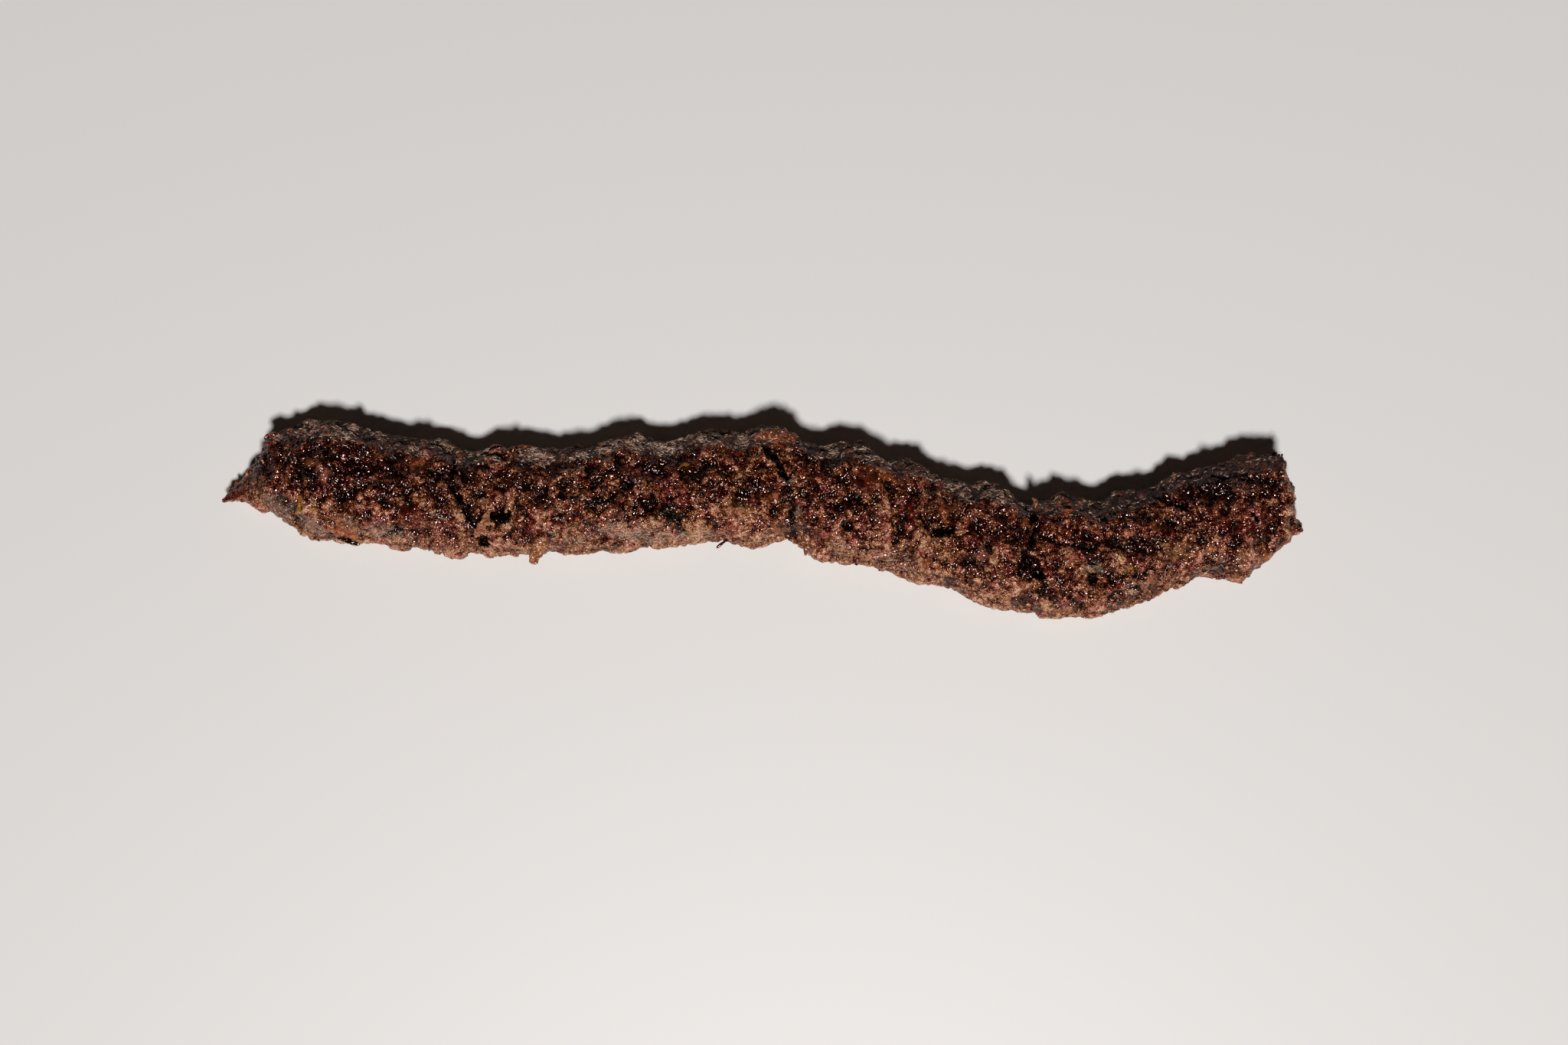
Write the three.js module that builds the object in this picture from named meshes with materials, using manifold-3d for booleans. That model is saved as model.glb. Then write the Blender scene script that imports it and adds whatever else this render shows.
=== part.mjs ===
// Koobideh kebab: one long strip of grilled minced meat, slid off its flat skewer and laid down.
// Millimetres, +Z up. +X runs along the strip and +Y across it. The strip lies on z = 0 with the
// origin in the middle of its footprint. It is a single solid: its crust, lumps, cracks, pits
// and torn shreds are all relief of the one body.
import * as THREE from "three";
import { mergeVertices } from "three/addons/utils/BufferGeometryUtils.js";
import Module from "manifold-3d";

// Driving dimensions. The cross-sections run from the torn left tip to the right tip, each as
// [x, far side, near side, underside, top]. Until the whole is centred at the end, x is the
// distance from the left tip. The strip bends like a flat S, thins towards its left tip, and
// curls up at its right end.
const SECTIONS = [
  [0, 5.3, 4.6, 3.4, 5],
  [3, 9.4, 4.6, 2.4, 6.4],
  [6, 12.3, 4.7, 2, 9],
  [10, 15.6, 3.1, 1.5, 11.6],
  [14, 23.1, 2.1, 1, 13.7],
  [20, 25.1, -1.9, 0.4, 16],
  [27, 26.1, -5.3, 0.1, 17.2],
  [38, 25.3, -6, 0, 17.5],
  [51, 22.4, -6.8, 0, 17.4],
  [68, 18.6, -9.5, 0, 17],
  [90, 18.7, -8.8, 0, 17.4],
  [104, 19.5, -8.2, 0, 17.6],
  [121, 20.6, -7.3, 0, 17.9],
  [145, 22.5, -6.6, 0, 18],
  [157, 22.9, -6.5, 0, 18.1],
  [167, 19.8, -10.6, 0, 18.2],
  [187, 15.7, -15, 0, 17.7],
  [206, 9.7, -19.9, 0, 17.7],
  [222, 4.7, -25.4, 0, 18.1],
  [243, 4.3, -25.9, 0.1, 18],
  [258, 8.9, -21.4, 0.5, 16.9],
  [272, 14, -16.4, 1.4, 17.4],
  [284, 16.4, -15.2, 3, 19.4],
  [291, 16.7, -10.9, 3.8, 19],
  [294.6, 16.2, -7.2, 4.4, 18],
  [295.2, 10.9, -5.8, 5, 17.4],
  [296.8, 4.9, -3.8, 5.6, 15.8],
  [300, -2.7, -3.4, 7.4, 10.8],
];
const LENGTH = SECTIONS.at(-1)[0];

// Rounded crests between the dents of the fingers that pressed the meat onto its skewer, as
// [x, how far it stands out, half its length]. The dents run on over the top, less deep.
const FAR_CRESTS = [
  [28, 1.1, 9], [39, 0.6, 4], [60, 1.4, 8], [75, 0.6, 5], [99, 1.3, 4], [111, 2.9, 7.5],
  [118, 1.5, 5], [137, 2.7, 9], [153.5, 2.4, 8], [176.5, 3.7, 9], [192.5, 2, 5.5], [215.5, 2.8, 7.5],
  [234, 3.2, 7.5], [250, 1.3, 6], [268, 0.6, 5], [285, 0.7, 7],
];
const NEAR_CRESTS = [
  [26, 1, 4.5], [36.5, 0.8, 4], [50.5, 1.9, 5], [65, 2.1, 5], [76, 1, 4], [88, 1.6, 5],
  [100, 2, 6], [111, 1.2, 6], [122, 0.8, 4.5], [138, -1.2, 4], [148, 1.5, 6], [157.6, -1.9, 3.6],
  [167, 1.2, 4], [178, -0.8, 5], [194, 1, 4.5], [211, 2, 9], [230.5, 1.4, 4], [242, 1.3, 4.5],
  [254, 0.9, 5], [282, 1.6, 4.5],
];
const CREST_ON_TOP = 0.35; // share of a far crest that shows on the top

// Shape of a cross-section.
const SQUARENESS = 2.35; // 2 is an ellipse, more is squarer
const PRESSED = 0.2; // how far the underside would pass through the surface it is pressed against

// The relief: lumps of mince, crags between them, and grit on both.
const LUMPS = { size: 7, height: 2.9, seed: 11 };
const CRAGS = { size: 3.9, height: 1.9, seed: 23 };
const GRIT = { size: 2.2, height: 0.9, seed: 37 };
const SIDE_RELIEF = 0.55; // less relief where the outline already carries its own unevenness
const UNDERSIDE_RELIEF = 0.6; // the underside is pressed smoother than the top
const SLENDER = 7; // sections with a half height under this carry less relief
const TORN = { size: 5.5, depth: 1.5, from: 1.5, to: 15, seed: 53 }; // the torn faces of both ends

// Mesh density.
const RINGS = 126;
const AROUND = 36;
const END_CROWDING = 0.5; // share of the ring spacing that closes up towards both ends
const TOP_CROWDING = 0.3; // how much closer the points of a ring are on the upper face
const SLIVER = 0.1; // shorter edges, left where solids were joined and cut, are merged away

// Cracks where the strip bent and split, with the hollows between its lumps: the route on its
// upper face with the widest opening and the depth.
const CRACKS = [
  { route: [[150, 19.6], [154, 16.8], [156.2, 13.4], [158, 9.6]], width: 3.2, depth: 6.5 },
  { route: [[157.4, 9.4], [158.6, 5.6], [158.4, -0.6], [159.2, -4], [157.8, -7.4]], width: 1.7, depth: 3.2 },
  {
    route: [[65.2, 19.4], [66, 14], [65.6, 10.4], [67, 6.4], [69.2, 2.8], [71.6, -4.4]],
    width: 1.9,
    depth: 3.2,
  },
  { route: [[74.8, 0], [78.4, 0.6], [82.4, 0.8]], width: 2.7, depth: 5.5 },
  { route: [[221.2, 5.8], [225, 0.6], [225.2, -3], [223.4, -8.4]], width: 2.7, depth: 4.8 },
  { route: [[221.2, -10.2], [224, -12], [227.2, -16.6]], width: 3.6, depth: 5 },
  { route: [[195, -5.4], [199.4, -3.7], [204, -2.6]], width: 2.9, depth: 3.4 },
  { route: [[103.8, 4.8], [108.5, 5.1], [110.8, 7.7], [116.6, 10.4]], width: 2, depth: 3 },
  { route: [[271, 11.6], [279, 11.9], [286, 10.4], [293, 9.6]], width: 4.6, depth: 1.7 },
  { route: [[256, 7], [262, 4.6], [268.8, 1.6]], width: 2.8, depth: 2.2 },
  { route: [[227.6, -6], [236, -7.2], [244.6, -8]], width: 2.4, depth: 2.2 },
];

// Pits in the upper face: the place, the radius and the depth.
const PITS = [
  { at: [74, -6.5], radius: 2.3, depth: 4.6 },
  { at: [223.2, -11.7], radius: 2.8, depth: 5 },
  { at: [241, -16.6], radius: 1.6, depth: 2.8 },
  { at: [202.3, 1.3], radius: 1, depth: 1.9 },
  { at: [173.6, -2.4], radius: 1.5, depth: 2.4 },
];

// Shreds and lips that stand out: the middle, the three half sizes, the turn about +Z in
// degrees, and the height of the middle above the surface.
const SHREDS = [
  { at: [154.4, 22.2], size: [5.8, 2.6, 2], turn: -10, height: 10.2 },
  { at: [4.6, 8.8], size: [1.9, 1.8, 1.3], turn: 60, height: 3.6 },
  { at: [15.6, 22.2], size: [2.9, 2, 1.9], turn: 40, height: 6 },
  { at: [73.6, -0.8], size: [1.8, 3.7, 2.1], turn: -23, height: 15.6 },
  { at: [88, -8.4], size: [1.6, 4.2, 1.2], turn: -24, height: 6.8 },
  { at: [38, -6.1], size: [2, 1.4, 1.3], turn: 10, height: 7.2 },
  { at: [225.4, 3.2], size: [1.3, 2.7, 1.9], turn: -12, height: 13.6 },
  { at: [287.4, 15.2], size: [7.2, 2, 2.2], turn: -4, height: 14 },
  { at: [297.6, -2.9], size: [2.2, 1.5, 1.4], turn: -20, height: 9.6 },
  { at: [76.8, 18.8], size: [3.6, 1.3, 1.5], turn: -8, height: 11.4 },
  { at: [86.8, 18.7], size: [5.4, 1.2, 1.4], turn: -12, height: 11.2 },
];
const SHRED_DETAIL = 1; // subdivisions of the rounded lump a shred starts from
const SHRED_RAGGED = 0.22; // how uneven its surface is, as a share of its radius

const MEAT = new THREE.MeshStandardMaterial({
  name: "grilled_meat",
  color: 0x4a2a1e,
  roughness: 0.55,
  metalness: 0,
});

// A repeatable number from -1 to 1 for a cell of a lattice.
function cellValue(ix, iy, iz, seed) {
  let h = Math.imul(ix, 374761393) ^ Math.imul(iy, 668265263);
  h ^= Math.imul(iz, 2147483629) ^ Math.imul(seed, 1274126177);
  h = Math.imul(h ^ (h >>> 13), 1103515245);
  h = Math.imul(h ^ (h >>> 15), 2246822519);
  return ((h ^ (h >>> 16)) >>> 0) / 2147483647.5 - 1;
}

// Smooth noise from -1 to 1 whose bumps are about `size` across.
function smoothNoise(point, size, seed) {
  const at = point.clone().divideScalar(size);
  const cell = at.clone().floor();
  const part = at.sub(cell);
  const ease = [part.x, part.y, part.z].map((t) => t * t * (3 - 2 * t));
  let sum = 0;
  for (let corner = 0; corner < 8; corner++) {
    const step = [corner & 1, (corner >> 1) & 1, corner >> 2];
    const weight = step.reduce((w, on, axis) => w * (on ? ease[axis] : 1 - ease[axis]), 1);
    sum += weight * cellValue(cell.x + step[0], cell.y + step[1], cell.z + step[2], seed);
  }
  return sum;
}

// Rounded lumps with creases between them, from -1 in a crease to 1 on a crown: each lattice
// cell holds one lump, moved at random from the middle of its cell.
function lumpNoise(point, size, seed) {
  const at = point.clone().divideScalar(size);
  const home = at.clone().floor();
  const middle = new THREE.Vector3();
  let nearest = Infinity;
  for (let dx = -1; dx <= 1; dx++)
    for (let dy = -1; dy <= 1; dy++)
      for (let dz = -1; dz <= 1; dz++) {
        const cell = [home.x + dx, home.y + dy, home.z + dz];
        const shift = [0, 1, 2].map((axis) => 0.5 + 0.42 * cellValue(...cell, seed + axis));
        middle.set(cell[0] + shift[0], cell[1] + shift[1], cell[2] + shift[2]);
        nearest = Math.min(nearest, middle.distanceTo(at));
      }
  return 1 - 2 * Math.min(1, nearest);
}

// Far side, near side, underside and top at any x, by a smooth curve through the sections.
const sizes = new THREE.CubicInterpolant(
  SECTIONS.map((section) => section[0]),
  SECTIONS.flatMap((section) => section.slice(1)),
  SECTIONS[0].length - 1,
);

// How far the crests of one side stand out at x.
function crestAt(crests, x) {
  return crests.reduce((sum, [middle, height, half]) => {
    const share = (x - middle) / half;
    return sum + height * Math.max(0, 1 - share * share);
  }, 0);
}

// The smooth cross-section at x: its middle and its half sizes.
function sectionAt(x) {
  const [smoothFar, smoothNear, under, smoothTop] = sizes.evaluate(x);
  const crest = crestAt(FAR_CRESTS, x);
  const far = smoothFar + crest;
  const near = smoothNear - crestAt(NEAR_CRESTS, x);
  const top = smoothTop + CREST_ON_TOP * crest;
  const halfHeight = (top - under + PRESSED) / 2;
  return { x, y: (far + near) / 2, z: top - halfHeight, halfWidth: (far - near) / 2, halfHeight };
}

// A rounded, slightly square point of a section at an angle from +Y.
function rimPoint(section, angle) {
  const across = Math.cos(angle);
  const up = Math.sin(angle);
  const reach = (Math.abs(across) ** SQUARENESS + Math.abs(up) ** SQUARENESS) ** (-1 / SQUARENESS);
  return new THREE.Vector3(
    section.x,
    section.y + across * reach * section.halfWidth,
    section.z + up * reach * section.halfHeight,
  );
}

// Height of the strip's smooth upper face above a point of the plan.
function upperFace(x, y) {
  const section = sectionAt(x);
  const share = Math.min(0.98, Math.abs(y - section.y) / section.halfWidth);
  return section.z + section.halfHeight * (1 - share ** SQUARENESS) ** (1 / SQUARENESS);
}

// How far the surface stands out of the smooth section at a point.
function reliefAt(point, angle, section) {
  const across = Math.cos(angle);
  const up = Math.sin(angle);
  const rough =
    0.5 * LUMPS.height * lumpNoise(point, LUMPS.size, LUMPS.seed) +
    0.5 * CRAGS.height * lumpNoise(point, CRAGS.size, CRAGS.seed) +
    0.5 * GRIT.height * smoothNoise(point, GRIT.size, GRIT.seed);
  const beside = THREE.MathUtils.lerp(1, SIDE_RELIEF, across ** 4);
  const beneath = up < 0 ? THREE.MathUtils.lerp(1, UNDERSIDE_RELIEF, up * up) : 1;
  const slender = Math.min(1, section.halfHeight / SLENDER);
  return rough * beside * beneath * slender;
}

// How far a point is torn along the strip: most between TORN.from and TORN.to of either tip.
function tornBy(point) {
  const toTip = Math.min(point.x, LENGTH - point.x);
  const share = Math.min(toTip / TORN.from, (TORN.to - toTip) / (TORN.to - TORN.from));
  return TORN.depth * Math.max(0, share) * smoothNoise(point, TORN.size, TORN.seed);
}

// A closed skin over a row of rings with the same number of points, ends capped by fans.
function loft(rings) {
  const count = rings[0].length;
  const points = rings.flat();
  const faces = [];
  for (let r = 0; r + 1 < rings.length; r++)
    for (let k = 0; k < count; k++) {
      const a = r * count + k;
      const b = r * count + ((k + 1) % count);
      const [c, d] = [b + count, a + count];
      if ((r + k) % 2) faces.push(a, b, d, b, c, d);
      else faces.push(a, b, c, a, c, d);
    }
  for (const [ring, start, turned] of [[rings[0], 0, true], [rings.at(-1), points.length - count, false]]) {
    const middle = ring.reduce((sum, p) => sum.add(p), new THREE.Vector3()).divideScalar(count);
    const tip = points.push(middle) - 1;
    for (let k = 0; k < count; k++) {
      const pair = [start + k, start + ((k + 1) % count)];
      faces.push(...(turned ? pair.reverse() : pair), tip);
    }
  }
  const geometry = new THREE.BufferGeometry().setFromPoints(points);
  return geometry.setIndex(faces);
}

// Where a ring stands: evenly spaced in the middle, closer together at both ends.
function ringPlace(index) {
  const even = index / (RINGS - 1);
  const crowded = 0.5 - 0.5 * Math.cos(Math.PI * even);
  return LENGTH * THREE.MathUtils.lerp(even, crowded, END_CROWDING);
}

// The strip itself, with its relief, pressed flat where it would pass through the surface.
function stripGeometry() {
  const rings = [];
  for (let index = 0; index < RINGS; index++) {
    const section = sectionAt(ringPlace(index));
    const centre = new THREE.Vector3(section.x, section.y, section.z);
    const ring = [];
    for (let k = 0; k < AROUND; k++) {
      const even = (2 * Math.PI * k) / AROUND;
      const angle = even + TOP_CROWDING * Math.cos(even);
      const point = rimPoint(section, angle);
      const outward = point.clone().sub(centre).normalize();
      point.addScaledVector(outward, reliefAt(point, angle, section));
      point.x += tornBy(point);
      point.z = Math.max(point.z, 0);
      ring.push(point);
    }
    rings.push(ring);
  }
  return loft(rings);
}

// The wedge of a crack: wide at the upper face, narrow at its floor, closed to a slit at its ends.
function crackGeometry({ route, width, depth }) {
  const line = new THREE.CatmullRomCurve3(route.map(([x, y]) => new THREE.Vector3(x, y, 0)));
  const steps = 3 * (route.length - 1);
  const rings = [];
  for (let step = 0; step <= steps; step++) {
    const share = step / steps;
    const open = Math.max(0.12, Math.sin(Math.PI * share) ** 0.6);
    const at = line.getPointAt(share);
    const wobble = smoothNoise(at, GRIT.size, GRIT.seed);
    const along = line.getTangentAt(share);
    const aside = new THREE.Vector3(-along.y, along.x, 0);
    aside.multiplyScalar((width / 2) * open * (1 + 0.35 * wobble));
    const face = upperFace(at.x, at.y);
    const floor = face - depth * open * (1 + 0.25 * wobble);
    const rim = face + LUMPS.height;
    const corner = (reach, height) => at.clone().addScaledVector(aside, reach).setZ(height);
    rings.push([corner(1.3, rim), corner(-1.3, rim), corner(-0.35, floor), corner(0.35, floor)]);
  }
  return loft(rings);
}

// A rounded hollow to take out of the upper face.
function pitGeometry({ at: [x, y], radius, depth }) {
  return new THREE.IcosahedronGeometry(1, 1)
    .scale(radius, radius * 0.85, depth)
    .translate(x, y, upperFace(x, y) + LUMPS.height * 0.2);
}

// A ragged lump or shred to fuse on.
function shredGeometry({ at: [x, y], size, turn, height }) {
  const lump = mergedPositions(new THREE.IcosahedronGeometry(1, SHRED_DETAIL));
  const place = lump.getAttribute("position");
  const point = new THREE.Vector3();
  for (let i = 0; i < place.count; i++) {
    point.fromBufferAttribute(place, i);
    const ragged = 1 + SHRED_RAGGED * smoothNoise(point.clone().addScalar(x), 0.6, GRIT.seed);
    place.setXYZ(i, point.x * ragged, point.y * ragged, point.z * ragged);
  }
  return lump
    .scale(...size)
    .rotateZ(THREE.MathUtils.degToRad(turn))
    .translate(x, y, height);
}

// The same geometry with only positions, and with the vertices of neighbouring faces shared.
function mergedPositions(geometry) {
  const bare = geometry.clone();
  for (const name of Object.keys(bare.attributes)) if (name !== "position") bare.deleteAttribute(name);
  return mergeVertices(bare, 1e-4);
}

const wasm = await Module();
wasm.setup();

// A closed geometry as a solid that can be joined and cut.
function solidOf(geometry) {
  const merged = mergedPositions(geometry);
  const triVerts = new Uint32Array(merged.index.array);
  const build = () =>
    new wasm.Manifold(
      new wasm.Mesh({ numProp: 3, vertProperties: merged.attributes.position.array, triVerts }),
    );
  const made = build();
  if (made.volume() > 0) return made;
  for (let i = 0; i < triVerts.length; i += 3)
    [triVerts[i + 1], triVerts[i + 2]] = [triVerts[i + 2], triVerts[i + 1]];
  return build();
}

// A solid back as a geometry.
function geometryOf(solid) {
  const mesh = solid.getMesh();
  return new THREE.BufferGeometry()
    .setAttribute("position", new THREE.BufferAttribute(new Float32Array(mesh.vertProperties), 3))
    .setIndex(new THREE.BufferAttribute(new Uint32Array(mesh.triVerts), 1));
}

// The whole kebab: the strip, its shreds fused on, its cracks and pits taken out, then moved so
// that the origin is in the middle of its footprint.
function kebabGeometry() {
  let meat = solidOf(stripGeometry());
  for (const shred of SHREDS) meat = meat.add(solidOf(shredGeometry(shred)));
  for (const crack of CRACKS) meat = meat.subtract(solidOf(crackGeometry(crack)));
  for (const pit of PITS) meat = meat.subtract(solidOf(pitGeometry(pit)));
  const geometry = geometryOf(meat.simplify(SLIVER));
  geometry.computeBoundingBox();
  const { min, max } = geometry.boundingBox;
  geometry.translate(-(min.x + max.x) / 2, -(min.y + max.y) / 2, -min.z);
  geometry.computeVertexNormals();
  return geometry;
}

const kebab = new THREE.Group();
kebab.name = "koobideh_kebab";
const strip = new THREE.Mesh(kebabGeometry(), MEAT);
strip.name = "kebab_meat";
kebab.add(strip);

export default kebab;
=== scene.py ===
"""The looks of one koobideh kebab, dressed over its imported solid.

The grilled crust, the grains of mince on it, its dry fibres, torn tags and the bits of onion, herb
and pepper in it are made here in metres, in the frame of the solid. Places on the meat are written
in millimetres on the strip: x from its left tip, y across it, as on the solid's own drawing.
"""
from __future__ import annotations

import logging
import math
from dataclasses import dataclass, field
from enum import Enum
from typing import Sequence, Union

import bpy
import numpy as np
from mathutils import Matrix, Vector, noise
from mathutils.bvhtree import BVHTree


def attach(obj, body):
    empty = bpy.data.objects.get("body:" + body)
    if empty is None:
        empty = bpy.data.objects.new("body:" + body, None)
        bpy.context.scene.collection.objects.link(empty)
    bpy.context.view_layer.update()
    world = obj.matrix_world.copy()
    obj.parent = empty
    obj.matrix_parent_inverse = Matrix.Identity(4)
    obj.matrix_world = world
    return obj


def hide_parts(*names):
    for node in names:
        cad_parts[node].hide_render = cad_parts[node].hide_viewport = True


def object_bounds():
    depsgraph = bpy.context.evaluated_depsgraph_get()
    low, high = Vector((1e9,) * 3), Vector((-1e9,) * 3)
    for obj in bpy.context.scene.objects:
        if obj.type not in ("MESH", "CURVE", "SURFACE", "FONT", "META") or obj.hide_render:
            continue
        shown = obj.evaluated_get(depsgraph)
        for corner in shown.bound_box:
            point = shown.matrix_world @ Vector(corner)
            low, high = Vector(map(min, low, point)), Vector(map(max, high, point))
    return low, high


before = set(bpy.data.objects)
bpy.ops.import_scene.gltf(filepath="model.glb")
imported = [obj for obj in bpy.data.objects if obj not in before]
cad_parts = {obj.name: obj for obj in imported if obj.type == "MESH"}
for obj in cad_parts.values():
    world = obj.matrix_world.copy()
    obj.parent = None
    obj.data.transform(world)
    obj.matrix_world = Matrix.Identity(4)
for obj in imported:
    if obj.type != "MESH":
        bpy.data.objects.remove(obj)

CAD_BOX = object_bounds()
NODE = "kebab_meat"
BODY = "root"

MM = 0.001
STRIP_MIDDLE = 150.0  # x on the strip, in millimetres, of the frame's origin

log = logging.getLogger("kebab")
Color = tuple[float, float, float, float]
Value = Union[float, Sequence[float], bpy.types.NodeSocket]


def linear(red: int, green: int, blue: int) -> Color:
    """Turn a screen colour, from 0 to 255, into the linear one that shaders use, with an alpha of 1."""
    shares = (channel / 255 for channel in (red, green, blue))
    return (*(s / 12.92 if s <= 0.04045 else ((s + 0.055) / 1.055) ** 2.4 for s in shares), 1.0)


class Tint(Enum):
    """What a patch of the meat is coloured by."""

    # near black: real char, and also painted shade in the insides of cracks, pits and holes
    CHAR = (12, 2, 1)
    WET_RED = (116, 32, 22)
    RUST = (168, 92, 44)
    TAN = (180, 126, 82)
    PINK = (182, 110, 92)
    BEIGE = (200, 158, 120)
    ASH = (116, 102, 96)
    MINT = (144, 142, 118)
    HERB = (28, 34, 20)
    PEPPER = (190, 140, 44)


def smoothstep(low: float, high: float, value: np.ndarray) -> np.ndarray:
    """Rise smoothly from 0 at `low` to 1 at `high`."""
    share = np.clip((value - low) / (high - low), 0, 1)
    return share * share * (3 - 2 * share)


@dataclass
class Graph:
    """A node tree, with short calls for the nodes that the finishes are made of."""

    tree: bpy.types.NodeTree

    def node(self, kind: str, *values: Value, **settings: object) -> bpy.types.Node:
        """Add one node.

        Args:
            kind: the type of the node.
            values: what its first inputs are fed.
            settings: properties to set on it.

        Returns:
            The new node.
        """
        made = self.tree.nodes.new(kind)
        for name, value in settings.items():
            setattr(made, name, value)
        for socket, value in zip(made.inputs, values):
            self.feed(socket, value)
        return made

    def feed(self, socket: bpy.types.NodeSocket, value: Value) -> None:
        """Link an input to an output, or set its plain value.

        Args:
            socket: the input.
            value: the output that it is linked to, or its plain value.
        """
        if isinstance(value, bpy.types.NodeSocket):
            self.tree.links.new(value, socket)
        else:
            socket.default_value = value

    def math(self, operation: str, first: Value, second: Value = 0.0) -> bpy.types.NodeSocket:
        """Work out one sum of two values."""
        return self.node("ShaderNodeMath", first, second, operation=operation).outputs[0]

    def vectors(self, operation: str, *values: Value) -> bpy.types.Node:
        """Work out one sum of vectors, in a node whose outputs are the resulting vector and Value."""
        return self.node("ShaderNodeVectorMath", *values, operation=operation)

    def span(
        self, value: Value, low: float, high: float, start: float = 0.0, end: float = 1.0,
    ) -> bpy.types.NodeSocket:
        """Map a value smoothly from the range from `low` to `high` onto the one from `start` to `end`."""
        made = self.node("ShaderNodeMapRange", value, low, high, start, end, interpolation_type="SMOOTHSTEP")
        return made.outputs[0]

    def place(self) -> bpy.types.NodeSocket:
        """Read the point on the piece, in metres."""
        return self.node("ShaderNodeTexCoord").outputs["Object"]

    def attribute(self, name: str, output: str = "Fac") -> bpy.types.NodeSocket:
        """Read an attribute of the piece's own mesh, with the output Fac for a number, or Color."""
        return self.node("ShaderNodeAttribute", attribute_name=name).outputs[output]

    def noise(
        self, vector: Value, size: float, detail: float = 2.0, distortion: float = 0.0,
    ) -> bpy.types.NodeSocket:
        """Add soft noise.

        Args:
            vector: where it is read.
            size: how wide one bump is, in metres.
            detail: octaves of finer noise on it.
            distortion: how much it is stirred.

        Returns:
            The noise from 0 to 1.
        """
        made = self.node("ShaderNodeTexNoise", vector)
        self.feed(made.inputs["Scale"], 1 / size)
        self.feed(made.inputs["Detail"], detail)
        self.feed(made.inputs["Distortion"], distortion)
        return made.outputs["Fac"]

    def cells(self, vector: Value, size: float) -> bpy.types.Node:
        """Add cells, one for each grain or lump.

        Args:
            vector: where they are read.
            size: how wide a cell is, in metres.

        Returns:
            The texture node, whose outputs are Color and Position.
        """
        made = self.node("ShaderNodeTexVoronoi", vector)
        self.feed(made.inputs["Scale"], 1 / size)
        return made

    def cell_shades(self, size: float, swirl: float, amount: float) -> Sequence[bpy.types.NodeSocket]:
        """Give each cell of a stirred pattern three shades of its own, from 0 to 1."""
        cells = self.cells(self.stirred(swirl, amount), size)
        return self.node("ShaderNodeSeparateColor", cells.outputs["Color"]).outputs

    def stirred(self, size: float, amount: float) -> bpy.types.NodeSocket:
        """Move the place that a pattern is read at by noise, so that its cells lose their straight edges.

        Args:
            size: how wide the swirls are, in metres.
            amount: how far they move it, in metres.

        Returns:
            The moved place.
        """
        place = self.place()
        swirl = self.node("ShaderNodeTexNoise", place)
        self.feed(swirl.inputs["Scale"], 1 / size)
        return self.vectors("MULTIPLY_ADD", swirl.outputs["Color"], [amount] * 3, place).outputs[0]

    def mix(self, share: Value, first: Value, second: Value, blend: str = "MIX") -> bpy.types.NodeSocket:
        """Blend two colours.

        Args:
            share: how much of the second there is.
            first: the colour below.
            second: the colour on it.
            blend: the way of blending.

        Returns:
            The blended colour.
        """
        made = self.node("ShaderNodeMix", share, data_type="RGBA", blend_type=blend)
        self.feed(made.inputs[6], first)
        self.feed(made.inputs[7], second)
        return made.outputs[2]

    def ramp(self, share: Value, stops: Sequence[tuple[float, Color]]) -> bpy.types.NodeSocket:
        """Run a value through a row of colours.

        Args:
            share: the value from 0 to 1.
            stops: places and colours along the ramp.

        Returns:
            The colour at the value.
        """
        made = self.node("ShaderNodeValToRGB", share)
        elements = made.color_ramp.elements
        while len(elements) < len(stops):
            elements.new(1.0)
        for element, (position, color) in zip(elements, stops):
            element.position = position
            element.color = color
        return made.outputs[0]


MINCE_BROWN: tuple[tuple[float, Color], ...] = (
    (0.0, linear(15, 1, 0)),
    (0.12, linear(42, 6, 1)),
    (0.24, linear(69, 20, 6)),
    (0.36, linear(97, 41, 18)),
    (0.48, linear(126, 66, 33)),
    (0.6, linear(149, 91, 53)),
    (0.72, linear(172, 117, 77)),
    (1.0, linear(222, 178, 141)),
)

MINCE_RED: tuple[tuple[float, Color], ...] = (
    (0.0, linear(20, 1, 1)),
    (0.16, linear(60, 7, 5)),
    (0.32, linear(96, 23, 14)),
    (0.48, linear(130, 50, 31)),
    (0.64, linear(159, 86, 59)),
    (1.0, linear(220, 170, 142)),
)


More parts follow.
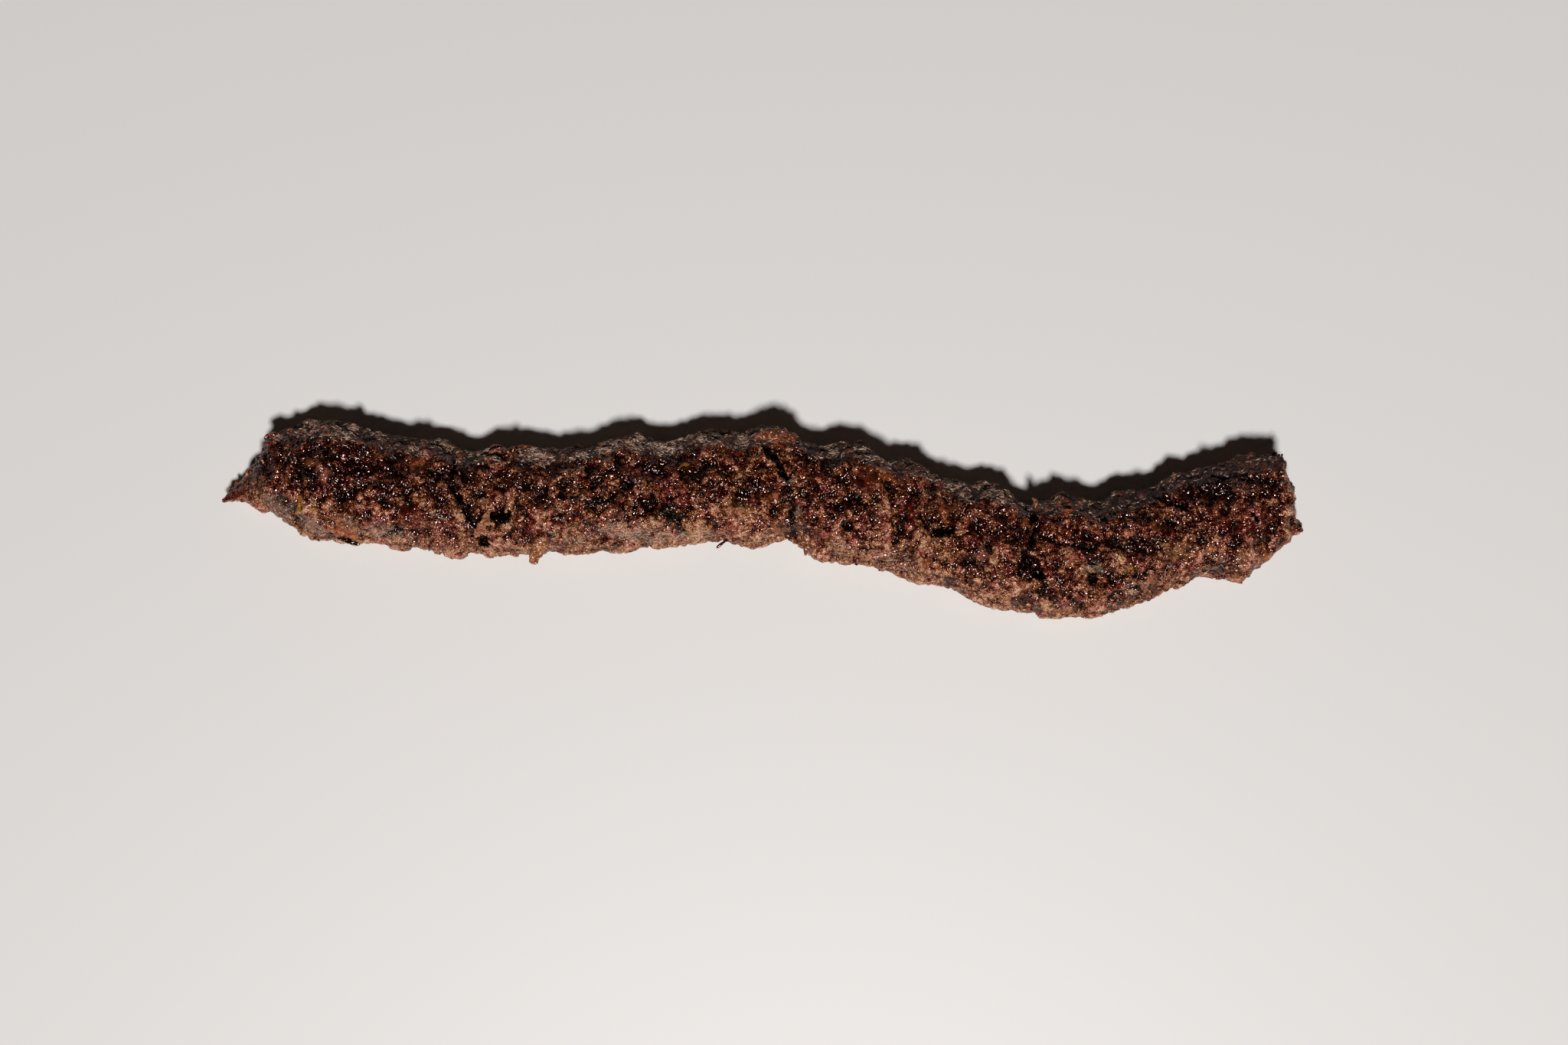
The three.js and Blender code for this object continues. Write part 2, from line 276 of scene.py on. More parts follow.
class Effects:
    """Shader groups that more than one finish uses, each built once."""

    MIDDLE_TONE: float = 0.42
    TONE_TO_RAMP: float = 0.72  # how far along the ramps a tone of 1 is
    STREAK_SQUEEZE: tuple[float, float, float] = (0.3, 1.0, 1.0)  # draws noise out along the strip

    @staticmethod
    def _group(name: str, inputs: dict[str, float], outputs: dict[str, str]) -> tuple[Graph, bool]:
        """Find or start a group.

        Args:
            name: the group's name.
            inputs: the number inputs with their usual values.
            outputs: the outputs with their socket types.

        Returns:
            The group's graph, and whether it is new and still to be filled.
        """
        found = bpy.data.node_groups.get(name)
        if found:
            return Graph(found), False
        tree = bpy.data.node_groups.new(name, "ShaderNodeTree")
        for title, value in inputs.items():
            socket = tree.interface.new_socket(title, in_out="INPUT", socket_type="NodeSocketFloat")
            socket.default_value = value
        for title, kind in outputs.items():
            tree.interface.new_socket(title, in_out="OUTPUT", socket_type=kind)
        return Graph(tree), True

    @classmethod
    def mince_tone(cls) -> bpy.types.NodeTree:
        """Give every lump and grain of mince its own shade, from wet dark red to pale tan.

        Returns:
            The group. Its input Shift makes all of it paler or darker, and its output Tone is how
            pale it is, from 0 to 1.
        """
        outputs = {"Color": "NodeSocketColor", "Tone": "NodeSocketFloat"}
        graph, new = cls._group("mince_tone", {"Shift": 0.0}, outputs)
        if not new:
            return graph.tree
        shift = graph.node("NodeGroupInput").outputs["Shift"]
        lumps = graph.cell_shades(2.4 * MM, 1.6 * MM, 1.4 * MM)
        grains = graph.cell_shades(0.75 * MM, 0.6 * MM, 0.5 * MM)
        tone = graph.math("ADD", shift, cls.MIDDLE_TONE)
        for source, spread in (
            (lumps[0], 0.28),
            (grains[0], 0.44),
            (graph.noise(graph.place(), 10 * MM), 0.8),
            (graph.noise(graph.place(), 4 * MM, distortion=0.4), 1.2),
            (graph.noise(graph.place(), 1.2 * MM), 1.4),
            (graph.noise(graph.place(), 0.3 * MM), 3.2),
        ):
            part = graph.math("MULTIPLY", graph.math("SUBTRACT", source, 0.5), spread)
            tone = graph.math("ADD", tone, part)
        share = graph.math("MULTIPLY", tone, cls.TONE_TO_RAMP)
        brown = graph.ramp(share, MINCE_BROWN)
        red = graph.ramp(share, MINCE_RED)
        redness = graph.math("MULTIPLY", grains[1], 0.12)
        redness = graph.math("ADD", redness, graph.noise(graph.place(), 5 * MM))
        color = graph.mix(graph.span(redness, 0.52, 0.7), brown, red)
        given = graph.node("NodeGroupOutput")
        graph.feed(given.inputs["Color"], color)
        graph.feed(given.inputs["Tone"], tone)
        return graph.tree

    @classmethod
    def moist_grain(cls) -> bpy.types.NodeTree:
        """Wrinkle a moist surface and tilt its fine grains, so that it glints in arcs and in points.

        Returns:
            The group. Its inputs are how steep the grains are and how deep the wrinkles are in
            millimetres, and its output Height is in millimetres too.
        """
        inputs = {"Slope": 1.0, "Wrinkle": 0.4}
        graph, new = cls._group("moist_grain", inputs, {"Height": "NodeSocketFloat"})
        if not new:
            return graph.tree
        given = graph.node("NodeGroupInput")
        place = graph.place()
        cells = graph.cells(place, 0.42 * MM)
        offset = graph.vectors("SUBTRACT", place, cells.outputs["Position"])
        tilt = graph.vectors("SUBTRACT", cells.outputs["Color"], [0.5] * 3)
        facet = graph.vectors("DOT_PRODUCT", offset.outputs[0], tilt.outputs[0])
        height = graph.math("MULTIPLY", facet.outputs["Value"], 1 / MM)
        height = graph.math("MULTIPLY", height, given.outputs["Slope"])
        wrinkle = graph.math("MULTIPLY", graph.noise(place, 1.1 * MM, 0.6, 0.8), given.outputs["Wrinkle"])
        graph.feed(graph.node("NodeGroupOutput").inputs["Height"], graph.math("ADD", height, wrinkle))
        return graph.tree

    @classmethod
    def streaks(cls) -> bpy.types.NodeTree:
        """Draw dry fibres that run along the strip.

        Returns:
            The group. Its output Share is 1 on a fibre and 0 between fibres.
        """
        graph, new = cls._group("streaks", {}, {"Share": "NodeSocketFloat"})
        if not new:
            return graph.tree
        drawn = graph.vectors("MULTIPLY", graph.stirred(3 * MM, 2 * MM), cls.STREAK_SQUEEZE)
        share = graph.span(graph.noise(drawn.outputs[0], 0.34 * MM), 0.5, 0.64)
        graph.feed(graph.node("NodeGroupOutput").inputs["Share"], share)
        return graph.tree

    @staticmethod
    def place_in(graph: Graph, tree: bpy.types.NodeTree, **values: Value) -> bpy.types.Node:
        """Put a group into a material.

        Args:
            graph: the material's graph.
            tree: the group.
            values: what its inputs are fed, by name.

        Returns:
            The group's node.
        """
        made = graph.node("ShaderNodeGroup", node_tree=tree)
        for name, value in values.items():
            graph.feed(made.inputs[name], value)
        return made

    @classmethod
    def roughen(cls, graph: Graph, shader: bpy.types.Node, slope: float, wrinkle: float) -> None:
        """Give a material the moist grain as its bump.

        Args:
            graph: the material's graph.
            shader: its Principled shader.
            slope: how steep the grains are.
            wrinkle: how deep the wrinkles are, in millimetres.
        """
        grain = cls.place_in(graph, cls.moist_grain(), Slope=slope, Wrinkle=wrinkle)
        bump = graph.node("ShaderNodeBump")
        graph.feed(bump.inputs["Distance"], MM)
        graph.feed(bump.inputs["Height"], grain.outputs["Height"])
        graph.feed(shader.inputs["Normal"], bump.outputs["Normal"])


def new_material(name: str) -> tuple[bpy.types.Material, Graph, bpy.types.Node]:
    """Start a material.

    Args:
        name: its name.

    Returns:
        The material, its graph and its Principled shader.
    """
    material = bpy.data.materials.new(name)
    material.use_nodes = True
    graph = Graph(material.node_tree)
    return material, graph, material.node_tree.nodes["Principled BSDF"]


@dataclass(frozen=True)
class CrustFinish:
    """Grilled mince: moist, glinting and charred on top, dry and paler down the near side."""

    name: str = "grilled_crust"
    wet_roughness: float = 0.16
    dry_roughness: float = 0.5
    rim_roughness: float = 0.85
    specular: float = 0.75
    glint: Color = (1.0, 0.69, 0.64, 1.0)
    slope: float = 0.8
    wrinkle: float = 0.35
    # the dry fibres' own pale, raised to stand in for light catching the far rim: partly painted highlight
    lit_felt_color: Color = linear(250, 212, 184)
    felt_share: float = 0.85
    # near black laid into creases and pores: painted shade
    painted_crevice_shade: Color = linear(6, 1, 0)
    meat_in_tint: float = 0.55  # how much of the mince's own pattern shows through a tint
    wet_sheen: float = 0.6  # how much smoother it is where it is wet

    def make(self) -> bpy.types.Material:
        """Build the material.

        Returns:
            The material, which reads the crust's own attributes.
        """
        material, graph, shader = new_material(self.name)
        across = graph.attribute("across")
        rise = graph.attribute("rise")
        fine_rise = graph.attribute("fine_rise")
        scorch = graph.span(graph.noise(graph.place(), 6 * MM, 3.0, 0.5), 0.45, 0.62)
        scorch = graph.math("MULTIPLY", scorch, graph.span(across, -0.95, -0.2))
        shift = graph.attribute("tone")
        for source, amount in (
            (graph.attribute("shade"), 1.0),
            # rise and fine rise make high spots paler and hollows darker: painted light and shade
            (rise, 0.3),
            (fine_rise, 0.85),
            (graph.span(across, -0.95, 0.45, 0.18, -0.2), 1.0),
            (graph.span(across, 0.5, 0.8), -0.22),
            (scorch, -0.28),
        ):
            shift = graph.math("ADD", shift, graph.math("MULTIPLY", source, amount))
        toned = Effects.place_in(graph, Effects.mince_tone(), Shift=shift)
        mince = toned.outputs["Color"]
        felt = Effects.place_in(graph, Effects.streaks()).outputs["Share"]
        felt = graph.math("MULTIPLY", graph.math("MULTIPLY", felt, graph.attribute("felt")), self.felt_share)
        felted = graph.mix(felt, mince, self.lit_felt_color)
        tint = graph.mix(self.meat_in_tint, graph.attribute("tint", "Color"), mince, "OVERLAY")
        painted = graph.mix(graph.attribute("tint_share"), felted, tint)
        # creases between lumps and pores between grains, found from rise and fine rise, are painted darker:
        # painted shade
        crease_shade = graph.span(rise, -0.6, 0.1, 0.05, 1.0)
        pore_shade = graph.span(fine_rise, -0.22, -0.02, 0.35, 1.0)
        color = graph.mix(graph.math("MULTIPLY", crease_shade, pore_shade), self.painted_crevice_shade, painted)
        graph.feed(shader.inputs["Base Color"], color)
        wet = graph.math("MULTIPLY", graph.span(across, -1.0, -0.55), graph.span(across, 0.9, 0.6))
        wet = graph.math("MULTIPLY", wet, graph.span(graph.noise(graph.place(), 3.5 * MM, 1.0), 0.33, 0.49))
        dry = graph.math("SUBTRACT", toned.outputs["Tone"], graph.math("MULTIPLY", wet, self.wet_sheen))
        rough = graph.span(dry, 0.1, 0.7, self.wet_roughness, self.dry_roughness)
        rim = graph.span(across, 0.6, 0.85, 0.0, self.rim_roughness)
        graph.feed(shader.inputs["Roughness"], graph.math("MAXIMUM", rough, rim))
        graph.feed(shader.inputs["Specular IOR Level"], self.specular)
        graph.feed(shader.inputs["Specular Tint"], self.glint)
        Effects.roughen(graph, shader, self.slope, self.wrinkle)
        return material


@dataclass(frozen=True)
class FloorFinish:
    """A plain pale surface."""

    name: str = "pale_floor"
    color: Color = (0.74, 0.72, 0.705, 1.0)
    roughness: float = 0.5

    def make(self) -> bpy.types.Material:
        """Build the material.

        Returns:
            The material.
        """
        material, graph, shader = new_material(self.name)
        graph.feed(shader.inputs["Base Color"], self.color)
        graph.feed(shader.inputs["Roughness"], self.roughness)
        return material


def only(piece: bpy.types.Object) -> None:
    """Select one piece alone and make it active.

    Args:
        piece: the piece.
    """
    bpy.ops.object.select_all(action="DESELECT")
    piece.select_set(True)
    bpy.context.view_layer.objects.active = piece


def apply_modifier(piece: bpy.types.Object, kind: str, **settings: object) -> None:
    """Add a modifier to a piece and apply it.

    Args:
        piece: the piece.
        kind: the modifier's type.
        settings: its properties.
    """
    only(piece)
    bpy.ops.object.modifier_add(type=kind)
    modifier = piece.modifiers[-1]
    for name, value in settings.items():
        setattr(modifier, name, value)
    bpy.ops.object.modifier_apply(modifier=modifier.name)


def rows_of(parts: Sequence[object], name: str, wide: int = 3, kind: type = np.float64) -> np.ndarray:
    """Read one property of every part of a mesh.

    Args:
        parts: its vertices, edges or other parts.
        name: the property.
        wide: how many numbers it is for one part.
        kind: the type of the numbers.

    Returns:
        A row of numbers for each part.
    """
    flat = np.empty(len(parts) * wide, dtype=kind)
    parts.foreach_get(name, flat)
    return flat.reshape(-1, wide)


def points_of(piece: bpy.types.Object) -> np.ndarray:
    """Read where the vertices of a piece are, as rows of x, y and z."""
    return rows_of(piece.data.vertices, "co")


def normals_of(piece: bpy.types.Object) -> np.ndarray:
    """Read which way the vertices of a piece face, as rows of x, y and z."""
    return rows_of(piece.data.vertex_normals, "vector")


def put_in_box(piece: bpy.types.Object) -> None:
    """Press what stands out of the solid's box, or sinks through its rest, back into it.

    Args:
        piece: the piece.
    """
    points = np.clip(points_of(piece), CAD_BOX[0], CAD_BOX[1])
    piece.data.vertices.foreach_set("co", points.ravel())
    piece.data.update()


def set_number(piece: bpy.types.Object, name: str, values: np.ndarray) -> None:
    """Store a number for each vertex of a piece."""
    attribute = piece.data.attributes.new(name, "FLOAT", "POINT")
    attribute.data.foreach_set("value", values.astype(np.float32))


def set_color(piece: bpy.types.Object, name: str, values: np.ndarray) -> None:
    """Store a colour, as red, green, blue and alpha, for each vertex of a piece."""
    attribute = piece.data.attributes.new(name, "FLOAT_COLOR", "POINT")
    attribute.data.foreach_set("color", values.astype(np.float32).ravel())


@dataclass
class Strip:
    """The run of the strip: where its middle line is and how wide it is, along its length."""

    places: np.ndarray
    near: np.ndarray
    far: np.ndarray

    @classmethod
    def along(cls, points: np.ndarray, step: float = 3 * MM) -> Strip:
        """Measure a strip.

        Args:
            points: its vertices.
            step: the length of strip that one measure covers, in metres.

        Returns:
            The measured strip.
        """
        low, high = points[:, 0].min(), points[:, 0].max()
        places = np.linspace(low, high, int((high - low) / step))
        near, far = [], []
        for place in places:
            slice_y = points[np.abs(points[:, 0] - place) < step, 1]
            near.append(slice_y.min())
            far.append(slice_y.max())
        return cls(places, np.array(near), np.array(far))

    def across(self, points: np.ndarray) -> np.ndarray:
        """Say how far across the strip points are.

        Args:
            points: rows of x, y and z.

        Returns:
            -1 at the near edge to 1 at the far edge, for each point.
        """
        near = np.interp(points[:, 0], self.places, self.near)
        far = np.interp(points[:, 0], self.places, self.far)
        return (2 * points[:, 1] - near - far) / (far - near)


@dataclass(frozen=True)
class ReliefLayer:
    """One layer of relief that a texture pushes out of the crust or, with a height below 0, into it."""

    name: str
    basis: str
    size: float
    height: float
    middle: float = 0.5
    depth: int = 0
    group: str = ""

    def push(self, piece: bpy.types.Object) -> None:
        """Displace a piece by this layer.

        Args:
            piece: the piece.
        """
        texture = bpy.data.textures.new(self.name, "CLOUDS")
        texture.noise_basis = self.basis
        texture.noise_scale = self.size
        texture.noise_depth = self.depth
        apply_modifier(piece, "DISPLACE", texture=texture, texture_coords="LOCAL", strength=self.height,
                       mid_level=self.middle, vertex_group=self.group)


MARK_FADES: tuple[float, float] = (0.5, 1.2)  # where a patch starts to fade and ends, in its half widths
MARK_LIMIT: float = 1.8  # as far as the bumps of its edge can reach
MARK_BUMPS: float = 1.3 * MM


@dataclass(frozen=True)
class Mark:
    """A ragged patch on the meat, in millimetres on the strip and degrees.

    Its share is how much of its tint covers the meat or, without a tint, how much paler the meat is
    there or how likely dry fibres are.
    """

    tint: Tint | None
    x: float
    y: float
    long: float
    wide: float
    turn: float = 0.0
    share: float = 0.8

    def cover(self, points: np.ndarray, ragged: float = 0.9) -> tuple[np.ndarray, np.ndarray]:
        """Find what the patch covers.

        Args:
            points: rows of x, y and z.
            ragged: how uneven its edge is.

        Returns:
            The rows that it reaches, and how much of its share each of them gets.
        """
        turn = math.radians(self.turn)
        along = points[:, 0] / MM + STRIP_MIDDLE - self.x
        aside = points[:, 1] / MM - self.y
        u = (along * math.cos(turn) + aside * math.sin(turn)) / self.long
        v = (aside * math.cos(turn) - along * math.sin(turn)) / self.wide
        reach = np.hypot(u, v)
        inside = np.flatnonzero(reach < MARK_LIMIT)
        uneven = np.array([noise.noise(Vector(points[i]) / MARK_BUMPS) for i in inside])
        return inside, self.share * (1 - smoothstep(*MARK_FADES, reach[inside] + ragged * uneven))


def total_cover(marks: tuple[Mark, ...], points: np.ndarray) -> np.ndarray:
    """Add up what patches cover.

    Args:
        marks: the patches.
        points: rows of x, y and z.

    Returns:
        The sum of their shares for each row.
    """
    total = np.zeros(len(points))
    for mark in marks:
        inside, cover = mark.cover(points)
        total[inside] += cover
    return total


# Patches of colour, each with its x, y, length and width and, where they aren't the usual ones, its
# turn and its share.
MARKS: tuple[Mark, ...] = tuple(Mark(tint, *spot) for tint, spots in {
    Tint.RUST: (
        (27.3, 15.5, 2, 1.4), (34, -2.8, 6, 2.6, -10, 0.6), (56, 14.8, 2.6, 1.6), (66.3, 17, 2.4, 1.5),
        (153, 6.3, 3, 2.2, 0, 0.7), (154, 22.4, 5.5, 2.4, 0, 0.5), (185, 10.1, 2.4, 1.8),
        (196, -12.4, 1.5, 1.7), (200.7, 2.2, 3, 2.6), (221.8, -17, 1.8, 1.4), (222.9, -1, 1.8, 1.4),
        (233.8, 2.9, 1.9, 1.9), (258.3, -2.5, 1.8, 1.4), (281, -16.7, 2.4, 1.1, 0, 0.3),
        (288.5, -11, 2, 1.4), (181.5, 11.5, 6, 4, 0, 0.35),
    ),
    Tint.WET_RED: (
        (54.6, 1.2, 5, 3.6, 0, 0.5), (94.2, -0.9, 2.2, 1.4), (97, 4.7, 1.5, 1), (128.8, 5.3, 2.6, 2),
        (142.8, 18.1, 1.5, 1), (178, 9.5, 4, 3, 0, 0.6), (190, 2.2, 3.6, 3.4, 0, 0.6),
        (218, -15, 1.7, 1.9), (280.5, 0, 11, 5, 0, 0.45),
    ),
    Tint.PINK: (
        (31.7, 11.4, 2.2, 1.7), (42.4, -1.5, 1.5, 1.2), (211.5, -9.7, 2.5, 2.1), (235.5, -10.8, 1.6, 1.3),
    ),
    Tint.TAN: (
        (31.7, 3.5, 1.3, 1), (36.5, -1.6, 4.2, 1.5, -20, 0.5), (143.7, 2.2, 3.8, 2.2),
        (155.6, -3.1, 2.2, 1.5), (204.2, -3.4, 1.4, 1), (264.6, -9, 5, 1.6), (273, -8.8, 1.6, 1.3),
        (281, -10.5, 1.8, 1.4), (234, -25.2, 2.2, 1), (257.5, -16.6, 1.8, 1.3),
    ),
    Tint.ASH: (
        (17.6, 3.8, 5, 3.2, -30, 0.65), (26.5, -1.6, 6, 2.2, -30, 0.6), (37.6, -0.4, 2.4, 0.9, -40, 0.7),
        (47.2, -2.7, 5, 1.8, -15, 0.5), (272.5, 14, 2, 1.2),
    ),
    Tint.MINT: ((240.7, -13.3, 2.7, 2.2), (159.5, 2, 1.8, 1.4, 0, 0.5)),
    Tint.HERB: ((92.7, -4.6, 1.4, 1.1), (124.8, 1, 3.8, 2.4), (252.6, -19, 2.4, 1.4)),
    Tint.PEPPER: (
        (23.9, 4.2, 0.8, 2.3), (27.8, 2.7, 0.9, 0.7), (129.8, 15, 1.9, 0.9), (251.5, -13.3, 1.1, 0.8),
    ),
    # char patches, and the near-black insides of pits and holes such as at (27.8, 12.4), (74, -6.7) and
    # (78.6, -0.3), which are painted shade
    Tint.CHAR: (
        (27.8, 12.4, 2.2, 1.8), (63.8, 11.2, 8, 2.8, -8), (78.6, -0.3, 3.2, 1.2),
        (74, -6.7, 1.6, 1.3, -40), (159.3, -3, 1.2, 1.8), (173.4, -1, 1.4, 2.2), (199.6, -4, 4, 1.4, -19),
        (201.3, -16.7, 1.5, 1.1), (222.4, -10.8, 1.4, 1.2), (225.6, -15.7, 1.3, 1.1),
        (228.8, -21.3, 2, 0.7), (241.5, -16.7, 1.3, 1.1), (250, -7.6, 8.5, 1.8, -16),
        (279.3, 9.7, 15, 3.2, 0, 0.7),
    ),
}.items() for spot in spots)

# Stretches where the meat is darker, with a share below 0, or paler.
SHADES: tuple[Mark, ...] = tuple(Mark(None, *spot) for spot in (
    (36, 12, 22, 6, -6, -0.32), (34, 20, 26, 4, 4, -0.24), (63, 14, 7, 5, 0, -0.32), (84, 4, 18, 6, 0, 0.13),
    (112, 13, 12, 3.5, 0, -0.14), (128, 14, 14, 3, 0, -0.14), (185, 3, 28, 7, -22, 0.06),
    (262, 7, 26, 5, 20, -0.3), (250, -20, 30, 5, 12, -0.15), (284, -7, 8, 3.5, 35, -0.24),
    (277, -12.5, 6, 2.8, 20, -0.24), (292, -5, 3.5, 6, 0, -0.24), (282, -15.5, 8, 3, 12, -0.3),
))

# Stretches of the near side that dry fibres lie on.
DOWNY: tuple[Mark, ...] = tuple(Mark(None, *spot) for spot in (
    (16, 3.6, 5, 2.2, -30, 0.5), (26, -1.6, 6, 2, -30, 0.6), (38, -2, 5, 1.6, -20, 0.5),
    (47, -4, 6, 1.8, -10, 0.6), (60, 1, 3, 1.4, -40, 0.3), (98, -5.4, 7, 1.6, 0, 0.4),
    (112, -3.4, 8, 2.6, -14, 1.0), (121, -4.6, 8, 1.6, -6, 0.9), (133, -4.4, 6, 1.6, 0, 0.5),
    (172, -8.6, 6, 1.6, -16, 0.4), (188, -12, 8, 2, -18, 0.4), (254, -18, 8, 2, 16, 0.3),
    (272, -13, 6, 1.8, 14, 0.3),
))

# How felted with dry fibres the far rim is, at places in millimetres along the strip.
FELTED: tuple[tuple[float, float], ...] = (
    (12, 0.25), (22, 0.55), (62, 0.6), (75, 0.75), (150, 0.8), (165, 0.55), (215, 0.5), (228, 0.2),
    (300, 0.15),
)


def shaded_crack_line(wide: float, *run: tuple[float, float]) -> tuple[Mark, ...]:
    """Paint the inside of a crack near black as a row of marks: painted shade in the crack, with char.

    Args:
        wide: how wide it is, in millimetres.
        run: the spots that it runs through, as x and y on the strip.

    Returns:
        A mark for each stretch of it.
    """
    marks = []
    for (x, y), (next_x, next_y) in zip(run, run[1:]):
        long = math.hypot(next_x - x, next_y - y) / 2 + wide
        turn = math.degrees(math.atan2(next_y - y, next_x - x))
        marks.append(Mark(Tint.CHAR, (x + next_x) / 2, (y + next_y) / 2, long, wide, turn, 1.0))
    return tuple(marks)


# The insides of the cracks, painted near black: painted shade in them, together with char.
SHADED_CRACKS: tuple[Mark, ...] = (
    *shaded_crack_line(0.8, (65.2, 19), (66, 14), (65.8, 10.2), (67.2, 6)),
    *shaded_crack_line(1.2, (67.2, 6), (69.4, 1.4), (71, -2.6), (72.4, -5.4)),
    *shaded_crack_line(1.1, (93, 6.2), (98, 5.6), (103.6, 5)),
    *shaded_crack_line(1.5, (103.6, 5), (108.6, 5.2), (111.4, 7.4), (116.4, 10.2)),
    *shaded_crack_line(1.6, (150.6, 19.6), (154, 16.8), (156.2, 13.4), (158, 9.6)),
    *shaded_crack_line(1.0, (157.6, 9), (158.6, 5.6), (158.4, -0.6), (159.2, -4)),
    *shaded_crack_line(1.4, (221, 6), (224.4, 1.4), (225, -3), (223.4, -8.4), (222, -11)),
    *shaded_crack_line(1.2, (223.6, -12.4), (226, -15), (228.6, -18.6)),
    *shaded_crack_line(1.0, (256, 7), (262, 4.6), (268.8, 1.6)),
)


@dataclass
class Crust:
    """The whole grilled surface, from the solid's own shape with finer lumps and grains."""

    solid: bpy.types.Object
    voxel: float = 0.48 * MM
    triangles: int = 196000
    soften_rounds: int = 10  # take off the solid's edges
    grain_rounds: int = 11  # smooth away the grains, to measure them
    lump_rounds: int = 120  # and then the lumps too
    layers: tuple[ReliefLayer, ...] = (
        ReliefLayer("clods", "ORIGINAL_PERLIN", 6.5 * MM, 2.9 * MM, 0.5, 1, "craggy"),
        ReliefLayer("lumps", "VORONOI_F1", 3.1 * MM, -1.4 * MM, 0.45, 0, "craggy"),
        ReliefLayer("morsels", "VORONOI_F1", 1.7 * MM, -0.7 * MM, 0.45, 0, "craggy"),
        ReliefLayer("grains", "VORONOI_F1", 1.0 * MM, -0.34 * MM, 0.45),
    )
    pressed: float = 0.7  # how craggy the smoother near side is
    pressed_to: tuple[float, float] = (-0.85, -0.35)  # across the strip, to where it is fully craggy
    underside: float = -0.2  # what faces down more than this has bigger faces,
    unpainted: float = -0.3  # and more than this no marks
    felted_from: tuple[float, float] = (0.62, 0.86)  # across the strip, to where the rim is felted
    felt_patches: float = 4 * MM
    felt_least: float = 0.15  # between the patches
    felt_middle: float = 0.6
    felt_contrast: float = 2.2
    piece: bpy.types.Object = field(init=False)

    def build(self) -> None:
        """Make the crust and measure it."""
        self.piece = bpy.data.objects.new("grilled_crust", self.solid.data.copy())
        bpy.context.scene.collection.objects.link(self.piece)
        self.piece.data.materials.clear()
        only(self.piece)
        bpy.ops.object.mode_set(mode="EDIT")
        bpy.ops.mesh.select_all(action="SELECT")
        bpy.ops.mesh.remove_doubles(threshold=0.001 * MM)
        bpy.ops.object.mode_set(mode="OBJECT")
        apply_modifier(self.piece, "REMESH", mode="VOXEL", voxel_size=self.voxel)
        apply_modifier(self.piece, "SMOOTH", factor=0.5, iterations=self.soften_rounds)
        self._thin_underside()
        self._weigh()
        for layer in self.layers:
            layer.push(self.piece)
        put_in_box(self.piece)
        self._measure()
        only(self.piece)
        bpy.ops.object.shade_smooth()

    def _thin_underside(self) -> None:
        """Merge small faces on the side that the strip lies on, and keep them where it shows."""
        downward = normals_of(self.piece)[:, 2] < self.underside
        group = self.piece.vertex_groups.new(name="underside")
        group.add(np.flatnonzero(downward).tolist(), 1.0, "REPLACE")
        self.piece.data.calc_loop_triangles()
        share = min(1.0, self.triangles / len(self.piece.data.loop_triangles))
        apply_modifier(self.piece, "DECIMATE", ratio=share, vertex_group="underside")

    def _weigh(self) -> None:
        """Group the corners by how craggy the meat is there: fully, but less so low on the near side."""
        points = points_of(self.piece)
        across = Strip.along(points_of(self.solid)).across(points)
        weight = self.pressed + (1 - self.pressed) * smoothstep(*self.pressed_to, across)
        group = self.piece.vertex_groups.new(name="craggy")
        tenths = np.round(weight * 10).astype(int)
        for tenth in np.unique(tenths):
            group.add(np.flatnonzero(tenths == tenth).tolist(), float(tenth) / 10, "REPLACE")

    def _measure(self) -> None:
        """Store how far across it is, how felted, how far it stands out and what it is tinted by."""
        points = points_of(self.piece)
        normals = normals_of(self.piece)
        edges = rows_of(self.piece.data.edges, "vertices", 2, np.int64)
        across = Strip.along(points_of(self.solid)).across(points)
        fine = self._soften(points, edges, self.grain_rounds)
        coarse = self._soften(fine, edges, self.lump_rounds)
        set_number(self.piece, "across", across)
        set_number(self.piece, "felt", self._felt(points, across))
        set_number(self.piece, "fine_rise", np.einsum("ij,ij->i", points - fine, normals) / MM)
        set_number(self.piece, "rise", np.einsum("ij,ij->i", fine - coarse, normals) / MM)
        self._paint(points, normals)

    def _felt(self, points: np.ndarray, across: np.ndarray) -> np.ndarray:
        """Say how felted with dry fibres the far rim is.

        Args:
            points: rows of x, y and z.
            across: how far across the strip they are.

        Returns:
            0 to 1 for each point, in patches and less towards the blunt end.
        """
        felt = smoothstep(*self.felted_from, across)
        felt *= np.interp(points[:, 0] / MM + STRIP_MIDDLE, *zip(*FELTED))
        for i in np.flatnonzero(felt):
            patch = self.felt_middle + self.felt_contrast * noise.noise(Vector(points[i]) / self.felt_patches)
            felt[i] *= min(1.0, max(self.felt_least, patch))
        return felt

    @staticmethod
    def _soften(points: np.ndarray, edges: np.ndarray, rounds: int) -> np.ndarray:
        """Smooth a copy of the points.

        Args:
            points: rows of x, y and z.
            edges: pairs of neighbours.
            rounds: how often each point moves half way to the mean of its neighbours.

        Returns:
            The smoothed points.
        """
        total = len(points)
        count = np.bincount(edges.ravel(), minlength=total)[:, None]
        for _ in range(rounds):
            sums = np.stack([
                np.bincount(edges[:, 0], points[edges[:, 1], axis], total)
                + np.bincount(edges[:, 1], points[edges[:, 0], axis], total)
                for axis in range(3)
            ], axis=1)
            points = 0.5 * (points + sums / count)
        return points

